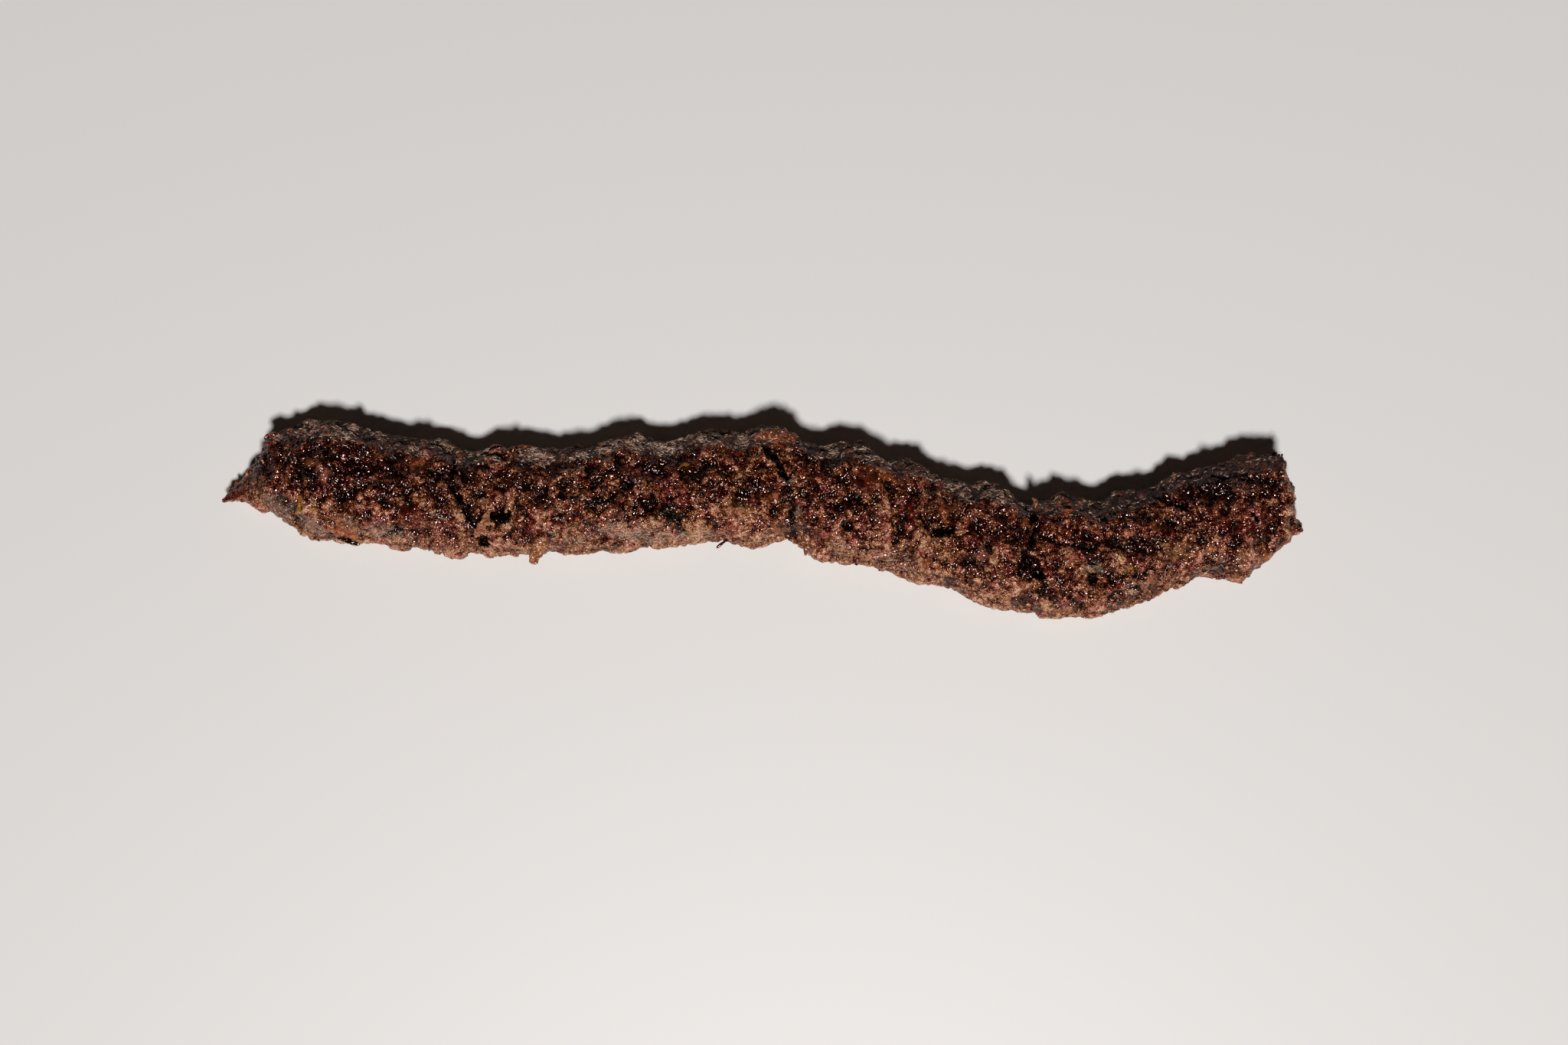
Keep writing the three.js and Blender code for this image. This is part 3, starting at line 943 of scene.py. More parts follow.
    def _paint(self, points: np.ndarray, normals: np.ndarray) -> None:
        """Lay the marks over the crust.

        Args:
            points: the crust's vertices.
            normals: which way they face.
        """
        set_number(self.piece, "shade", total_cover(SHADES, points))
        color = np.zeros((len(points), 3))
        share = np.zeros(len(points))
        for mark in (*MARKS, *SHADED_CRACKS):
            inside, cover = mark.cover(points)
            cover *= normals[inside, 2] > self.unpainted
            paint = np.array(linear(*mark.tint.value)[:3])
            color[inside] += cover[:, None] * (paint - color[inside])
            share[inside] += cover * (1 - share[inside])
        whole = np.maximum(share, 1e-6)[:, None]
        set_color(self.piece, "tint", np.hstack([np.minimum(color / whole, 1), np.ones((len(points), 1))]))
        set_number(self.piece, "tint_share", share)

    def dress(self, finish: bpy.types.Material) -> None:
        """Give the crust its finish and let it stand for the solid.

        Args:
            finish: the finish.
        """
        self.piece.data.materials.append(finish)
        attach(self.piece, BODY)
        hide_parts(NODE)


@dataclass
class Places:
    """Spots on the crust, with the way it faces there and a corner of the face that each is on."""

    points: np.ndarray
    normals: np.ndarray
    corners: np.ndarray


# What the crust's corners are measured by, and what the grains on it take over from them.
NUMBERS = ("across", "felt", "fine_rise", "rise", "shade", "tint_share")


@dataclass
class Surface:
    """The crust as a ground that small things are set on, with the measures of its corners by name."""

    points: np.ndarray
    normals: np.ndarray
    triangles: np.ndarray
    areas: np.ndarray
    tree: BVHTree
    numbers: dict[str, np.ndarray]
    tint: np.ndarray

    @classmethod
    def of(cls, piece: bpy.types.Object) -> Surface:
        """Read a measured piece.

        Args:
            piece: the crust.

        Returns:
            Its ground.
        """
        mesh = piece.data
        points = points_of(piece)
        mesh.calc_loop_triangles()
        triangles = rows_of(mesh.loop_triangles, "vertices", 3, np.int64)
        a, b, c = (points[triangles[:, k]] for k in range(3))
        areas = np.linalg.norm(np.cross(b - a, c - a), axis=1) / 2
        numbers = {
            name: rows_of(mesh.attributes[name].data, "value", 1, np.float32).ravel() for name in NUMBERS
        }
        tint = rows_of(mesh.attributes["tint"].data, "color", 4, np.float32)
        tree = BVHTree.FromPolygons(points.tolist(), triangles.tolist())
        return cls(points, normals_of(piece), triangles, areas, tree, numbers, tint)

    def pick(self, count: int, weight: np.ndarray, random: np.random.Generator) -> Places:
        """Pick spots at random.

        Args:
            count: how many.
            weight: how likely each corner of the mesh is, from 0 to 1.
            random: the source of the draw.

        Returns:
            The spots.
        """
        chance = self.areas * weight[self.triangles].mean(axis=1)
        chosen = random.choice(len(self.triangles), count, p=chance / chance.sum())
        shares = random.dirichlet((1.0, 1.0, 1.0), count)
        corners = self.triangles[chosen]
        points = np.einsum("nk,nkj->nj", shares, self.points[corners])
        normals = np.einsum("nk,nkj->nj", shares, self.normals[corners])
        normals /= np.linalg.norm(normals, axis=1)[:, None]
        return Places(points, normals, corners[:, 0])

    def skin(
        self, x: float, y: float, reach: float = 1.5 * MM, rays: int = 8, rank: int = 5,
    ) -> float:
        """Find how high the crust is round a spot, over the cracks in it.

        Args:
            x: the spot's place along the origin's axis, in metres.
            y: its place across that.
            reach: how far round it to look.
            rays: at how many places the height is taken.
            rank: which of these heights counts, from 0 for the lowest.

        Returns:
            The height in metres.
        """
        heights = []
        for number in range(rays):
            turn = number * math.tau / rays
            above = Vector((x + reach * math.cos(turn), y + reach * math.sin(turn), 1.0))
            hit = self.tree.ray_cast(above, Vector((0.0, 0.0, -1.0)))[0]
            heights.append(hit.z if hit else 0.0)
        return sorted(heights)[rank]


def frames_on(normals: np.ndarray, angles: np.ndarray) -> np.ndarray:
    """Turn a small thing to stand on a surface.

    Args:
        normals: which way the surface faces.
        angles: how far it is turned about that, in radians.

    Returns:
        For each thing a matrix whose columns are its two sides and its height.
    """
    side = np.cross(normals, [0.0, 1.0, 0.0])
    side /= np.maximum(np.linalg.norm(side, axis=1), 1e-9)[:, None]
    other = np.cross(normals, side)
    cos, sin = np.cos(angles)[:, None], np.sin(angles)[:, None]
    return np.stack([side * cos + other * sin, other * cos - side * sin, normals], axis=2)


def joined(name: str, points: np.ndarray, faces: np.ndarray) -> bpy.types.Object:
    """Join copies of one shape into a piece.

    Args:
        name: the piece's name.
        points: for each copy, its rows of x, y and z.
        faces: the corners of the shape's faces.

    Returns:
        The piece.
    """
    copies, corners = points.shape[:2]
    every = faces[None] + corners * np.arange(copies)[:, None, None]
    mesh = bpy.data.meshes.new(name)
    kept = np.clip(points.reshape(-1, 3), CAD_BOX[0], CAD_BOX[1])
    mesh.from_pydata(kept.tolist(), [], every.reshape(-1, faces.shape[1]).tolist())
    piece = bpy.data.objects.new(name, mesh)
    bpy.context.scene.collection.objects.link(piece)
    only(piece)
    bpy.ops.object.shade_smooth()
    return piece


@dataclass
class Cover:
    """Small things of one kind on the crust, joined as one piece."""

    name: str
    piece: bpy.types.Object = field(init=False)

    def dress(self, finish: bpy.types.Material) -> None:
        """Give the piece its finish, in the place of any that it has.

        Args:
            finish: the finish.
        """
        self.piece.data.materials.clear()
        self.piece.data.materials.append(finish)
        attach(self.piece, BODY)


@dataclass
class Grains(Cover):
    """Grains of mince that stand half out of the crust.

    Pairs of numbers are the least and the greatest, and lengths are in metres.
    """

    count: int
    detail: int  # of the ball that a grain is modelled from
    size: tuple[float, float]
    seed: int
    proportions: tuple[float, float, float]
    sunk: float  # how deep its middle is in the crust, as a share of half its width
    uneven: float = 0.24
    scatter: float = math.pi  # how far it is turned from the strip's length, in radians
    shapes: int = 8
    stretch: tuple[float, float] = (0.75, 1.2)
    tone_spread: float = 0.12

    def _shape(self, number: int) -> tuple[np.ndarray, np.ndarray]:
        """Model one grain.

        Args:
            number: which of the shapes.

        Returns:
            Its points and its faces.
        """
        bpy.ops.object.select_all(action="DESELECT")
        bpy.ops.mesh.primitive_ico_sphere_add(subdivisions=self.detail, radius=1)
        grain = bpy.context.active_object
        bpy.ops.object.mode_set(mode="EDIT")
        bpy.ops.mesh.select_all(action="SELECT")
        bpy.ops.transform.vertex_random(offset=self.uneven, uniform=0.0, normal=0.0, seed=number)
        bpy.ops.transform.resize(value=self.proportions)
        bpy.ops.object.mode_set(mode="OBJECT")
        points = points_of(grain)
        faces = np.array([list(face.vertices) for face in grain.data.polygons])
        bpy.data.objects.remove(grain)
        return points, faces

    def build(self, ground: Surface, weight: np.ndarray) -> None:
        """Model the grains and set them on the crust.

        Args:
            ground: the crust.
            weight: how likely they are at each of its corners.
        """
        random = np.random.default_rng(self.seed)
        models = [self._shape(number) for number in range(self.shapes)]
        shapes = np.array([points for points, _ in models])
        places = ground.pick(self.count, weight, random)
        radii = random.uniform(*self.size, self.count) / 2
        stretch = random.uniform(*self.stretch, (self.count, 3))
        frames = frames_on(places.normals, random.uniform(-self.scatter, self.scatter, self.count))
        chosen = shapes[random.integers(self.shapes, size=self.count)]
        local = chosen * (radii[:, None] * stretch)[:, None, :]
        middles = places.points - places.normals * (radii * self.sunk)[:, None]
        points = middles[:, None, :] + np.einsum("nij,nsj->nsi", frames, local)
        self.piece = joined(self.name, points, models[0][1])
        corners = shapes.shape[1]
        for number in NUMBERS:
            set_number(self.piece, number, np.repeat(ground.numbers[number][places.corners], corners))
        set_color(self.piece, "tint", np.repeat(ground.tint[places.corners], corners, axis=0))
        tones = random.normal(0.0, self.tone_spread, self.count)
        set_number(self.piece, "tone", np.repeat(tones, corners))


@dataclass(frozen=True)
class FibreFinish:
    """Dry meat fibres, from pale beige to grey brown."""

    name: str
    dark: Color
    pale: Color
    roughness: float = 0.85
    specular: float = 0.25
    slope: float = 0.5

    def make(self) -> bpy.types.Material:
        """Build the material.

        Returns:
            The material, which shades each fibre by its own tone.
        """
        material, graph, shader = new_material(self.name)
        tone = graph.math("ADD", graph.attribute("tone"), graph.noise(graph.place(), 0.8 * MM))
        graph.feed(shader.inputs["Base Color"], graph.ramp(tone, ((0.2, self.dark), (0.9, self.pale))))
        graph.feed(shader.inputs["Roughness"], self.roughness)
        graph.feed(shader.inputs["Specular IOR Level"], self.specular)
        Effects.roughen(graph, shader, self.slope, 0.0)
        return material


@dataclass
class Fibres(Cover):
    """Short threads of dried meat that lie on the crust.

    Pairs of numbers are the least and the greatest, lengths are in metres and turns in radians.
    """

    count: int
    length: tuple[float, float]
    thickness: tuple[float, float]
    seed: int
    steps: int
    lift: float = 0.05 * MM
    heading_spread: float = 0.5
    bend_spread: float = 0.25  # of whole threads
    kink_spread: float = 0.3  # of single steps
    tone_spread: float = 0.22
    # as shares of half a thread's thickness: its thin ends, how far its rings stand off, and the
    # corners round it, aside and up
    thin_end: float = 0.25
    stand_off: float = 0.4
    section: tuple[tuple[float, float], ...] = ((-1.0, -0.4), (1.0, -0.4), (0.7, 0.8), (-0.7, 0.8))

    def build(self, ground: Surface, weight: np.ndarray) -> None:
        """Lay the threads along the crust.

        Args:
            ground: the crust.
            weight: how likely they are at each of its corners.
        """
        random = np.random.default_rng(self.seed)
        places = ground.pick(self.count, weight, random)
        headings = random.normal(0.0, self.heading_spread, self.count)
        threads = []
        for point, heading in zip(places.points, headings):
            threads.append(self._thread(ground, Vector(point), heading, random))
        faces = [
            (4 * ring + k, 4 * ring + (k + 1) % 4, 4 * ring + 4 + (k + 1) % 4, 4 * ring + 4 + k)
            for ring in range(self.steps) for k in range(4)
        ]
        faces += [(3, 2, 1, 0), tuple(4 * self.steps + k for k in range(4))]
        self.piece = joined(self.name, np.array(threads), np.array(faces))
        tones = random.normal(0.0, self.tone_spread, self.count)
        set_number(self.piece, "tone", np.repeat(tones, 4 * (self.steps + 1)))

    def _thread(
        self, ground: Surface, start: Vector, heading: float, random: np.random.Generator,
    ) -> list[list[float]]:
        """Lay one thread from a spot, a step at a time, down on the crust.

        Args:
            ground: the crust.
            start: the spot.
            heading: its turn from the strip's length, in radians.
            random: the source of its bends.

        Returns:
            The corners of its rings.
        """
        step = random.uniform(*self.length) / self.steps
        half = random.uniform(*self.thickness) / 2
        bend = random.normal(0.0, self.bend_spread)
        place, corners = start, []
        for number in range(self.steps + 1):
            spot, normal, _, _ = ground.tree.find_nearest(place)
            along = Vector((math.cos(heading), math.sin(heading), 0.0))
            along = (along - normal * along.dot(normal)).normalized()
            side = normal.cross(along)
            swell = math.sin(math.pi * (number + 0.5) / (self.steps + 1))
            taper = self.thin_end + (1 - self.thin_end) * swell
            middle = spot + normal * (self.lift + half * self.stand_off * random.random())
            for aside, up in self.section:
                corners.append(list(middle + (side * aside + normal * up) * half * taper))
            place = spot + along * step
            heading += bend + random.normal(0.0, self.kink_spread)
        return corners


@dataclass(frozen=True)
class Shred:
    """A torn strand, tag, flap or bit, grown from spot to spot.

    Each spot of its run is x and y on the strip, how far it is above the skin at the first spot, and
    how wide the shred is there, in millimetres.
    """

    tint: Tint
    run: tuple[tuple[float, float, float, float], ...]
    flat: float = 0.5  # its height as a share of its width
    tone: float = 0.05  # how pale its meat is
    share: float = 0.6  # how much of the tint covers it
    rough: float = 0.3  # how uneven it is, as a share of its greatest width
    start_long: float = 0.3  # of the block that it grows from

    def build(self, ground: Surface, texture: bpy.types.Texture) -> bpy.types.Object:
        """Model the shred in its place.

        Args:
            ground: the crust that it grows from.
            texture: the noise that makes it uneven.

        Returns:
            The shred.
        """
        x, y = (self.run[0][0] - STRIP_MIDDLE) * MM, self.run[0][1] * MM
        base = ground.skin(x, y)
        spots = [Vector(((s[0] - STRIP_MIDDLE) * MM, s[1] * MM, base + s[2] * MM)) for s in self.run]
        turns = [math.atan2(b.y - a.y, b.x - a.x) for a, b in zip(spots, spots[1:])]
        wide = [spot[3] for spot in self.run]
        bpy.ops.object.select_all(action="DESELECT")
        bpy.ops.mesh.primitive_cube_add(size=1)
        piece = bpy.context.active_object
        bpy.ops.object.mode_set(mode="EDIT")
        bpy.ops.mesh.select_all(action="SELECT")
        start = (self.start_long * MM, wide[0] * MM, wide[0] * self.flat * MM)
        bpy.ops.transform.resize(value=start)
        self._turn(turns[0], Vector())
        bpy.ops.transform.translate(value=spots[0])
        bpy.ops.object.mode_set(mode="OBJECT")
        ahead = Vector((math.cos(turns[0]), math.sin(turns[0]), 0.0))
        front = max(piece.data.polygons, key=lambda face: (face.center - spots[0]).dot(ahead)).index
        for group in (piece.data.polygons, piece.data.edges, piece.data.vertices):
            group.foreach_set("select", [False] * len(group))
        piece.data.polygons[front].select = True
        bpy.ops.object.mode_set(mode="EDIT")
        bpy.ops.mesh.select_mode(type="FACE")
        for number in range(1, len(spots)):
            step = spots[number] - spots[number - 1]
            bpy.ops.mesh.extrude_region_move(TRANSFORM_OT_translate={"value": step})
            ratio = wide[number] / wide[number - 1]
            bpy.ops.transform.resize(value=(ratio, ratio, ratio), center_override=spots[number])
            if number < len(turns):
                self._turn(turns[number] - turns[number - 1], spots[number])
        bpy.ops.object.mode_set(mode="OBJECT")
        apply_modifier(piece, "SUBSURF", levels=3, render_levels=3)
        apply_modifier(piece, "DISPLACE", texture=texture, texture_coords="LOCAL",
                       strength=self.rough * max(wide) * MM, mid_level=0.5)
        corners = len(piece.data.vertices)
        set_number(piece, "tone", np.full(corners, self.tone))
        set_number(piece, "tint_share", np.full(corners, self.share))
        set_color(piece, "tint", np.tile(linear(*self.tint.value), (corners, 1)))
        return piece

    @staticmethod
    def _turn(angle: float, middle: Vector) -> None:
        """Turn what is selected about an upright line through a point."""
        bpy.ops.transform.rotate(value=-angle, orient_axis="Z", center_override=middle)


@dataclass
class Shreds(Cover):
    """Torn things of one kind."""

    shreds: tuple[Shred, ...]
    bump_size: float = 1.3 * MM

    def build(self, ground: Surface) -> None:
        """Model every shred and join them.

        Args:
            ground: the crust that they grow from.
        """
        texture = bpy.data.textures.new(self.name, "CLOUDS")
        texture.noise_scale = self.bump_size
        texture.noise_depth = 2
        pieces = [shred.build(ground, texture) for shred in self.shreds]
        only(pieces[0])
        for other in pieces[1:]:
            other.select_set(True)
        bpy.ops.object.join()
        self.piece = bpy.context.active_object
        self.piece.name = self.name
        put_in_box(self.piece)
        bpy.ops.object.shade_smooth()


# Each is a tint, a run and then, where they aren't the usual ones, flat, tone, share and rough.
TORN: tuple[Shred, ...] = (
    # the tail at the thin tip, with a spike on it
    Shred(Tint.WET_RED, (
        (9, 6.6, -2.2, 4.8), (5.6, 7, -3, 4.2), (3.2, 6.4, -3.8, 3), (1.2, 5.4, -4.3, 1.8),
        (-0.2, 4.9, -4.6, 0.7),
    ), tone=0.25),
    Shred(Tint.RUST, ((5.2, 7.6, -2, 2.2), (4, 9.4, -2.8, 1.5), (3.3, 10.8, -3.2, 0.4)), tone=0.2),
    # tags at the far corner of the thin end
    Shred(Tint.WET_RED, (
        (18, 21.8, -1.6, 3.2), (15.2, 23.2, -2.2, 2.8), (13.6, 22.6, -2.6, 1.8), (12.8, 21.6, -3, 0.4),
    ), tone=0.2),
    Shred(Tint.PINK, ((15, 18.6, -2.4, 2), (12.9, 18.4, -3.2, 1.3), (11.4, 17.7, -3.8, 0.4)), tone=0.2),
    # the folded flap above the long crack, and the strands that cross it
    Shred(Tint.TAN, (
        (148.6, 21.6, -2, 2.4), (151.6, 23.2, -1.6, 4), (154.8, 23.6, -1.6, 4.2), (158, 22.6, -2, 3),
        (160.6, 21.2, -3, 1),
    ), 0.5, 0.1, 0.35, 0.5),
    Shred(Tint.PINK, (
        (154, 21.4, 0, 1.8), (154.6, 19.2, 0.1, 1.4), (155.3, 17.2, -0.4, 1.1), (156.2, 14.9, -1.4, 0.5),
    ), 0.6, 0.3),
    Shred(Tint.TAN, ((156.6, 14.8, -0.8, 0.9), (157.4, 12.8, -0.8, 0.8), (158, 11, -1.2, 0.4)), 0.6, 0.2),
    # the flap and the knot over the hole on the near side
    Shred(Tint.BEIGE, (
        (75.4, 2, 0, 1.6), (75.4, 0.4, 0.7, 2.4), (74.4, -1.6, 1, 3.6), (73.2, -3.4, 0.8, 3.2),
        (71.9, -4.4, -0.2, 1.4),
    ), 0.4, 0.7, 0.6, 0.7),
    Shred(Tint.TAN, (
        (72.4, 4.6, 0, 1.8), (73.4, 4.2, 0.5, 2.6), (75.4, 4.8, 0.6, 2), (77.2, 4, 0.1, 1),
    ), 0.6, 0.5, 0.45, 0.8),
    # tags that hang out of the near edge
    Shred(Tint.TAN, (
        (90.2, -4.8, -0.8, 3.4), (89.4, -7, -1, 4), (88.4, -9.4, -1.6, 3.7), (87.6, -11.3, -2.2, 2.9),
        (87.2, -12.4, -2.5, 1.7),
    ), 0.35, 0.5, 0.6),
    Shred(Tint.CHAR, (
        (33.6, -4.9, -1.5, 1.4), (36.4, -5.9, -1.6, 2), (38.3, -6.6, -1.8, 1.7), (39.7, -7.3, -2, 0.2),
    ), 0.35, -0.4),
    Shred(Tint.CHAR, ((58.4, -6.9, -1, 0.4), (58.7, -8, -1.3, 0.35), (58.6, -9, -1.8, 0.2)), 0.8, -0.5),
    Shred(Tint.WET_RED, (
        (141, -5.8, -1, 0.7), (139.7, -6.5, -1.2, 0.8), (138.6, -7.3, -1.5, 1.2), (138, -8, -1.8, 0.5),
    ), 0.6, -0.1),
    Shred(Tint.TAN, ((162.6, -7.6, -1, 1.6), (162.6, -9, -1.4, 1.4), (162.4, -10.3, -2, 0.4)), 0.5, 0.1),
    Shred(Tint.WET_RED, ((175.6, -10.4, -1, 1.6), (176, -11.8, -1.4, 1.3), (176.6, -13, -2, 0.3)), 0.5),
    # curls on the far edge
    Shred(Tint.PINK, (
        (74.2, 18.2, -2, 0.9), (75.6, 20.2, -1.5, 1.2), (77.4, 20.3, -1.7, 1), (79.8, 19, -2.4, 0.6),
    ), 0.6, 0.3, 0.4, 0.6),
    Shred(Tint.PINK, (
        (75, 18, -2, 0.9), (77, 19, -1.2, 1.3), (79, 19.3, -1.6, 0.9), (80.4, 19.6, -2.2, 0.4),
    ), 0.6, 0.1, 0.4, 0.6),
    Shred(Tint.CHAR, ((79.2, 17.4, 0.4, 2.8), (81.2, 18, 1.3, 4.4), (83.4, 18, 0.4, 2.8)), 0.9, 0, 0.15, 0.7),
    Shred(Tint.RUST, (
        (82.2, 18.4, -0.8, 0.8), (83.4, 20.2, -0.4, 1.1), (86, 19.8, -0.6, 1.2), (89, 18.9, -1, 1),
        (91.4, 19.1, -1.8, 0.5),
    ), 0.6, 0.15, 0.4, 0.5),
    # the wet shred at the blunt tip, and knobs on the top
    Shred(Tint.WET_RED, (
        (295.4, -2.6, -0.6, 2.2), (297.2, -2.9, -0.8, 1.8), (298.8, -3.3, -1.2, 0.6),
    ), 0.5, 0.2),
    Shred(Tint.RUST, ((224.4, 3.2, 0, 1.6), (225.6, 3.4, 0.2, 2), (226.8, 3.2, -0.2, 1)), 0.6, 0.1),
    Shred(Tint.BEIGE, ((115.2, 16, -0.3, 1.2), (115, 14.8, 0, 1.9), (114.9, 13.4, -0.3, 0.9)), 0.5, 0.2),
)

BITS: tuple[Shred, ...] = (
    # slivers of pepper
    Shred(Tint.PEPPER, (
        (23.7, 6.4, 0, 0.7), (24.1, 4.8, 0.15, 1), (23.7, 3.2, 0.1, 0.9), (24.2, 1.8, -0.1, 0.5),
    ), 0.45, 0.1, 0.9),
    Shred(Tint.PEPPER, ((27.2, 2.8, 0, 0.7), (28, 2.6, 0.1, 0.9), (28.8, 2.9, -0.1, 0.4)), 0.5, 0.1, 0.9),
    Shred(Tint.PEPPER, (
        (127.6, 13.6, -0.1, 0.5), (128.2, 14.6, 0.1, 0.9), (129.4, 15.1, 0.1, 1), (130.8, 14.9, 0, 0.7),
        (131.6, 14.2, -0.2, 0.4),
    ), 0.5, 0.0, 0.55, 0.7),
    # single leaves of herb, and three that lie together
    Shred(Tint.HERB, ((91.6, -4.8, 0, 0.6), (92.8, -4.5, 0.1, 1), (93.8, -4.9, -0.1, 0.3)), 0.25, -0.1, 0.9),
    *(Shred(Tint.HERB, run, 0.4, -0.1, 0.9, 0.9) for run in (
        ((121.8, 1.9, -0.1, 0.6), (123, 2.1, 0.1, 1.4), (124.4, 1.5, -0.1, 0.6)),
        ((123.6, 0.2, -0.1, 0.6), (125.2, -0.2, 0.2, 1.6), (126.8, 0.5, -0.1, 0.5)),
        ((125.8, 2, -0.1, 0.5), (127, 1.5, 0.1, 1.2), (128, 1.7, -0.2, 0.4)),
    )),
    Shred(Tint.HERB, (
        (250.8, -19, 0, 0.6), (252.6, -19.2, 0.1, 1.1), (254.2, -18.8, -0.1, 0.4),
    ), 0.25, 0.0, 0.9),
    # a bit of onion, and pale knobs of meat and fat
    Shred(Tint.MINT, (
        (239, -13.3, -0.1, 1.3), (240.6, -12.9, 0.3, 2.8), (242.3, -14, -0.2, 1.4),
    ), 0.45, 0.5, 0.6, 0.9),
    *(Shred(Tint.TAN, run, 0.5, tone, 0.45, 0.7) for tone, run in (
        (0.55, ((259.4, -6.8, -0.1, 1), (260.8, -7.2, 0.3, 2.2), (262.2, -7.8, -0.1, 1))),
        (0.6, ((263, -8.6, -0.1, 1), (264.6, -8.4, 0.3, 2.4), (266, -9, -0.1, 1))),
        (0.5, ((266.8, -9.8, -0.1, 0.8), (268, -9.6, 0.2, 1.8), (269.2, -10.2, -0.1, 0.8))),
    )),
    *(Shred(Tint.BEIGE, run, 0.5, 0.4) for run in (
        ((31, 3.2, 0, 0.8), (31.9, 3.8, 0.1, 1), (32.4, 4.8, -0.1, 0.4)),
        ((203.4, -3.6, 0, 0.7), (204.4, -3.3, 0.1, 1), (205.4, -3.6, -0.1, 0.4)),
    )),
)


@dataclass
class Studio:
    """The floor, the lights and the camera, in metres, degrees and watts."""

    floor_width: float = 4.0
    camera_place: Vector = Vector((0.0065, -0.001, 0.6126))
    lens: float = 50.0  # in millimetres
    nearest_seen: float = 0.01
    key_elevation: float = 65.0
    key_turn: float = 3.0  # to the right of the near side's front
    key_distance: float = 2.8
    key_size: float = 0.46
    key_power: float = 79.0
    key_tint: tuple[float, float, float] = (1.0, 0.985, 0.97)
    fill_place: Vector = Vector((0.1, 0.3, 1.6))
    fill_size: float = 2.0
    fill_power: float = 0.25
    fill_tint: tuple[float, float, float] = (1.0, 0.82, 0.66)
    world_tint: Color = (1.0, 0.84, 0.7, 1.0)
    world_light: float = 0.006

    def build(self) -> None:
        """Set up the floor, the lights and the camera."""
        self._floor()
        self._lights()
        self._camera()

    def _floor(self) -> None:
        """Lay the floor."""
        bpy.ops.object.select_all(action="DESELECT")
        bpy.ops.mesh.primitive_plane_add(size=self.floor_width)
        floor = bpy.context.active_object
        floor.name = "floor"
        floor.data.materials.append(FloorFinish().make())

    def _light(self, name: str, place: Vector, size: float, power: float, tint: Sequence[float]) -> None:
        """Hang one round lamp that faces the origin.

        Args:
            name: the lamp's name.
            place: where it hangs.
            size: how wide it is, in metres.
            power: in watts.
            tint: the colour of its light.
        """
        lamp = bpy.data.lights.new(name, "AREA")
        lamp.shape = "DISK"
        lamp.size = size
        lamp.energy = power
        lamp.color = tint
        holder = bpy.data.objects.new(name, lamp)
        holder.location = place
        holder.rotation_euler = (-place).to_track_quat("-Z", "Y").to_euler()
        bpy.context.scene.collection.objects.link(holder)

    def _lights(self) -> None:
        """Hang the key light in front of the near side and a broad fill above, and dim the world."""
        rise, turn = math.radians(self.key_elevation), math.radians(self.key_turn)
        flat = math.cos(rise)
        key = Vector((math.sin(turn) * flat, -math.cos(turn) * flat, math.sin(rise))) * self.key_distance
        self._light("key", key, self.key_size, self.key_power, self.key_tint)
        self._light("fill", self.fill_place, self.fill_size, self.fill_power, self.fill_tint)
        world = bpy.data.worlds.new("studio")
        world.use_nodes = True
        background = world.node_tree.nodes["Background"]
        background.inputs["Color"].default_value = self.world_tint
        background.inputs["Strength"].default_value = self.world_light
        bpy.context.scene.world = world
        bpy.context.scene.view_settings.view_transform = "Standard"

    def _camera(self) -> None:
        """Hang the camera straight above, as the photograph was taken."""
        camera = bpy.data.cameras.new("camera")
        camera.lens = self.lens
        camera.clip_start = self.nearest_seen
        holder = bpy.data.objects.new("camera", camera)
        holder.location = self.camera_place
        bpy.context.scene.collection.objects.link(holder)
        bpy.context.scene.camera = holder


@dataclass
class Spread:
    """How likely small things are at each corner of the crust."""

    shown: np.ndarray  # on the upper side and the flanks, clear of what the strip lies on
    off_near_edge: np.ndarray
    near_edge: np.ndarray
    downy: np.ndarray  # on the stretches of the near side that are felted

    @classmethod
    def over(cls, ground: Surface) -> Spread:
        """Work it out.

        Args:
            ground: the crust.

        Returns:
            The spread over it.
        """
        across = ground.numbers["across"]
        height = ground.points[:, 2]
        upward = ground.normals[:, 2].astype(np.float32)
        return cls(
            shown=smoothstep(-0.6, 0.3, upward) * smoothstep(0.8 * MM, 2.5 * MM, height),
            off_near_edge=smoothstep(-0.9, -0.5, across),
            near_edge=smoothstep(-0.88, -0.97, across) * smoothstep(2 * MM, 4 * MM, height),
            downy=total_cover(DOWNY, ground.points) * (upward > 0),
        )


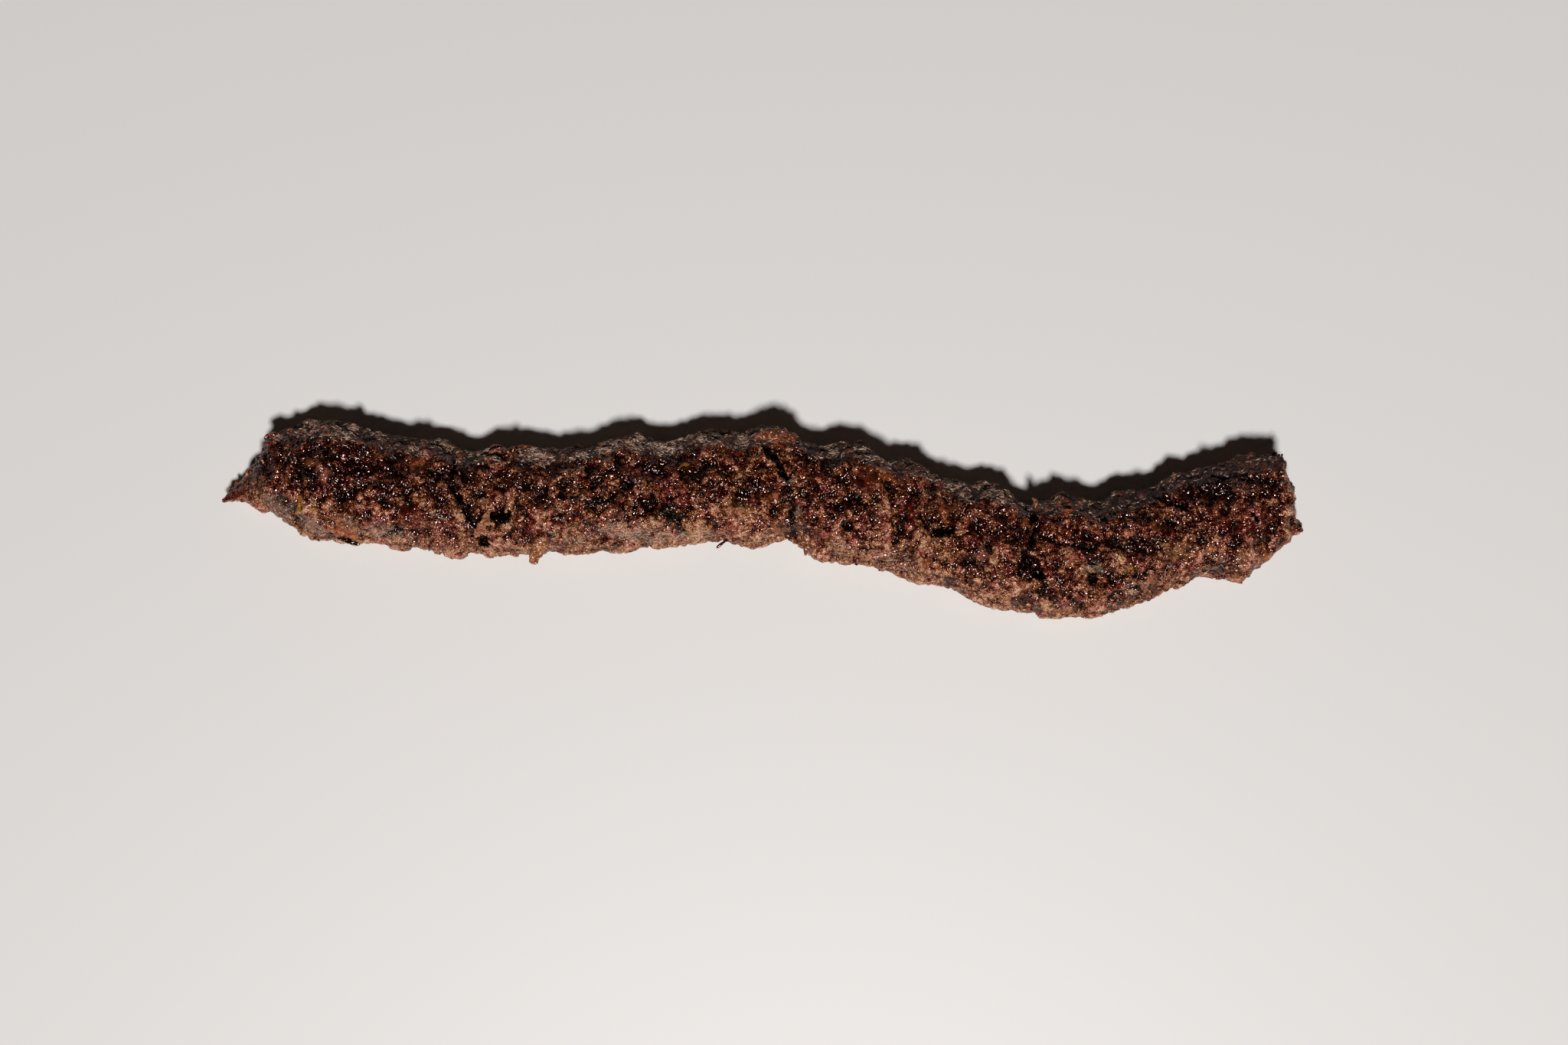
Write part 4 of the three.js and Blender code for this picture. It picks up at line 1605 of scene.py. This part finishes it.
LUMPS = Grains(
    "mince_lumps", count=2400, detail=2, size=(1.2 * MM, 2.4 * MM), seed=5,
    proportions=(1.7, 0.7, 0.5), sunk=0.35, uneven=0.2, scatter=1.1,
)
GRAINS = Grains(
    "mince_grains", count=9500, detail=1, size=(0.5 * MM, 1.1 * MM), seed=6,
    proportions=(1.3, 0.8, 0.6), sunk=0.25,
)
CRUMBS = Grains(
    "edge_crumbs", count=1500, detail=2, size=(0.9 * MM, 2.2 * MM), seed=8,
    proportions=(1.5, 0.8, 0.6), sunk=0.15, scatter=1.3,
)
FAR_FIBRES = Fibres(
    "far_fibres", count=5000, length=(0.4 * MM, 1.6 * MM), thickness=(0.09 * MM, 0.2 * MM), seed=7, steps=3,
)
NEAR_FIBRES = Fibres(
    "near_fibres", count=1300, length=(0.8 * MM, 2.6 * MM), thickness=(0.06 * MM, 0.13 * MM), seed=9, steps=4,
)
# the dry fibres' pale end, raised to stand in for light catching the far rim: partly painted highlight
FAR_FIBRE = FibreFinish("far_fibre", dark=linear(84, 48, 32), pale=linear(255, 224, 198))
NEAR_FIBRE = FibreFinish("near_fibre", dark=linear(116, 80, 60), pale=linear(232, 204, 182))


def main() -> None:
    """Build the kebab and its studio."""
    logging.basicConfig(level=logging.INFO, format="%(message)s")
    Studio().build()
    log.info("studio built")
    crust = Crust(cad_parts[NODE])
    crust.build()
    finish = CrustFinish().make()
    crust.dress(finish)
    log.info("crust: %d faces", len(crust.piece.data.polygons))
    ground = Surface.of(crust.piece)
    spread = Spread.over(ground)
    for grains, weight in (
        (LUMPS, spread.shown * (0.2 + 0.8 * spread.off_near_edge)),
        (GRAINS, 0.25 + 0.75 * spread.shown),
        (CRUMBS, spread.near_edge),
    ):
        grains.build(ground, weight)
        grains.dress(finish)
        log.info("%s: %d", grains.name, grains.count)
    for fibres, weight, look in (
        (FAR_FIBRES, spread.shown * ground.numbers["felt"], FAR_FIBRE),
        (NEAR_FIBRES, spread.downy, NEAR_FIBRE),
    ):
        fibres.build(ground, weight)
        fibres.dress(look.make())
        log.info("%s: %d", fibres.name, fibres.count)
    for shreds in (Shreds("torn_shreds", TORN), Shreds("pepper_herb_and_onion_bits", BITS)):
        shreds.build(ground)
        shreds.dress(finish)
        log.info("%s: %d", shreds.name, len(shreds.shreds))


if __name__ == "__main__":
    main()
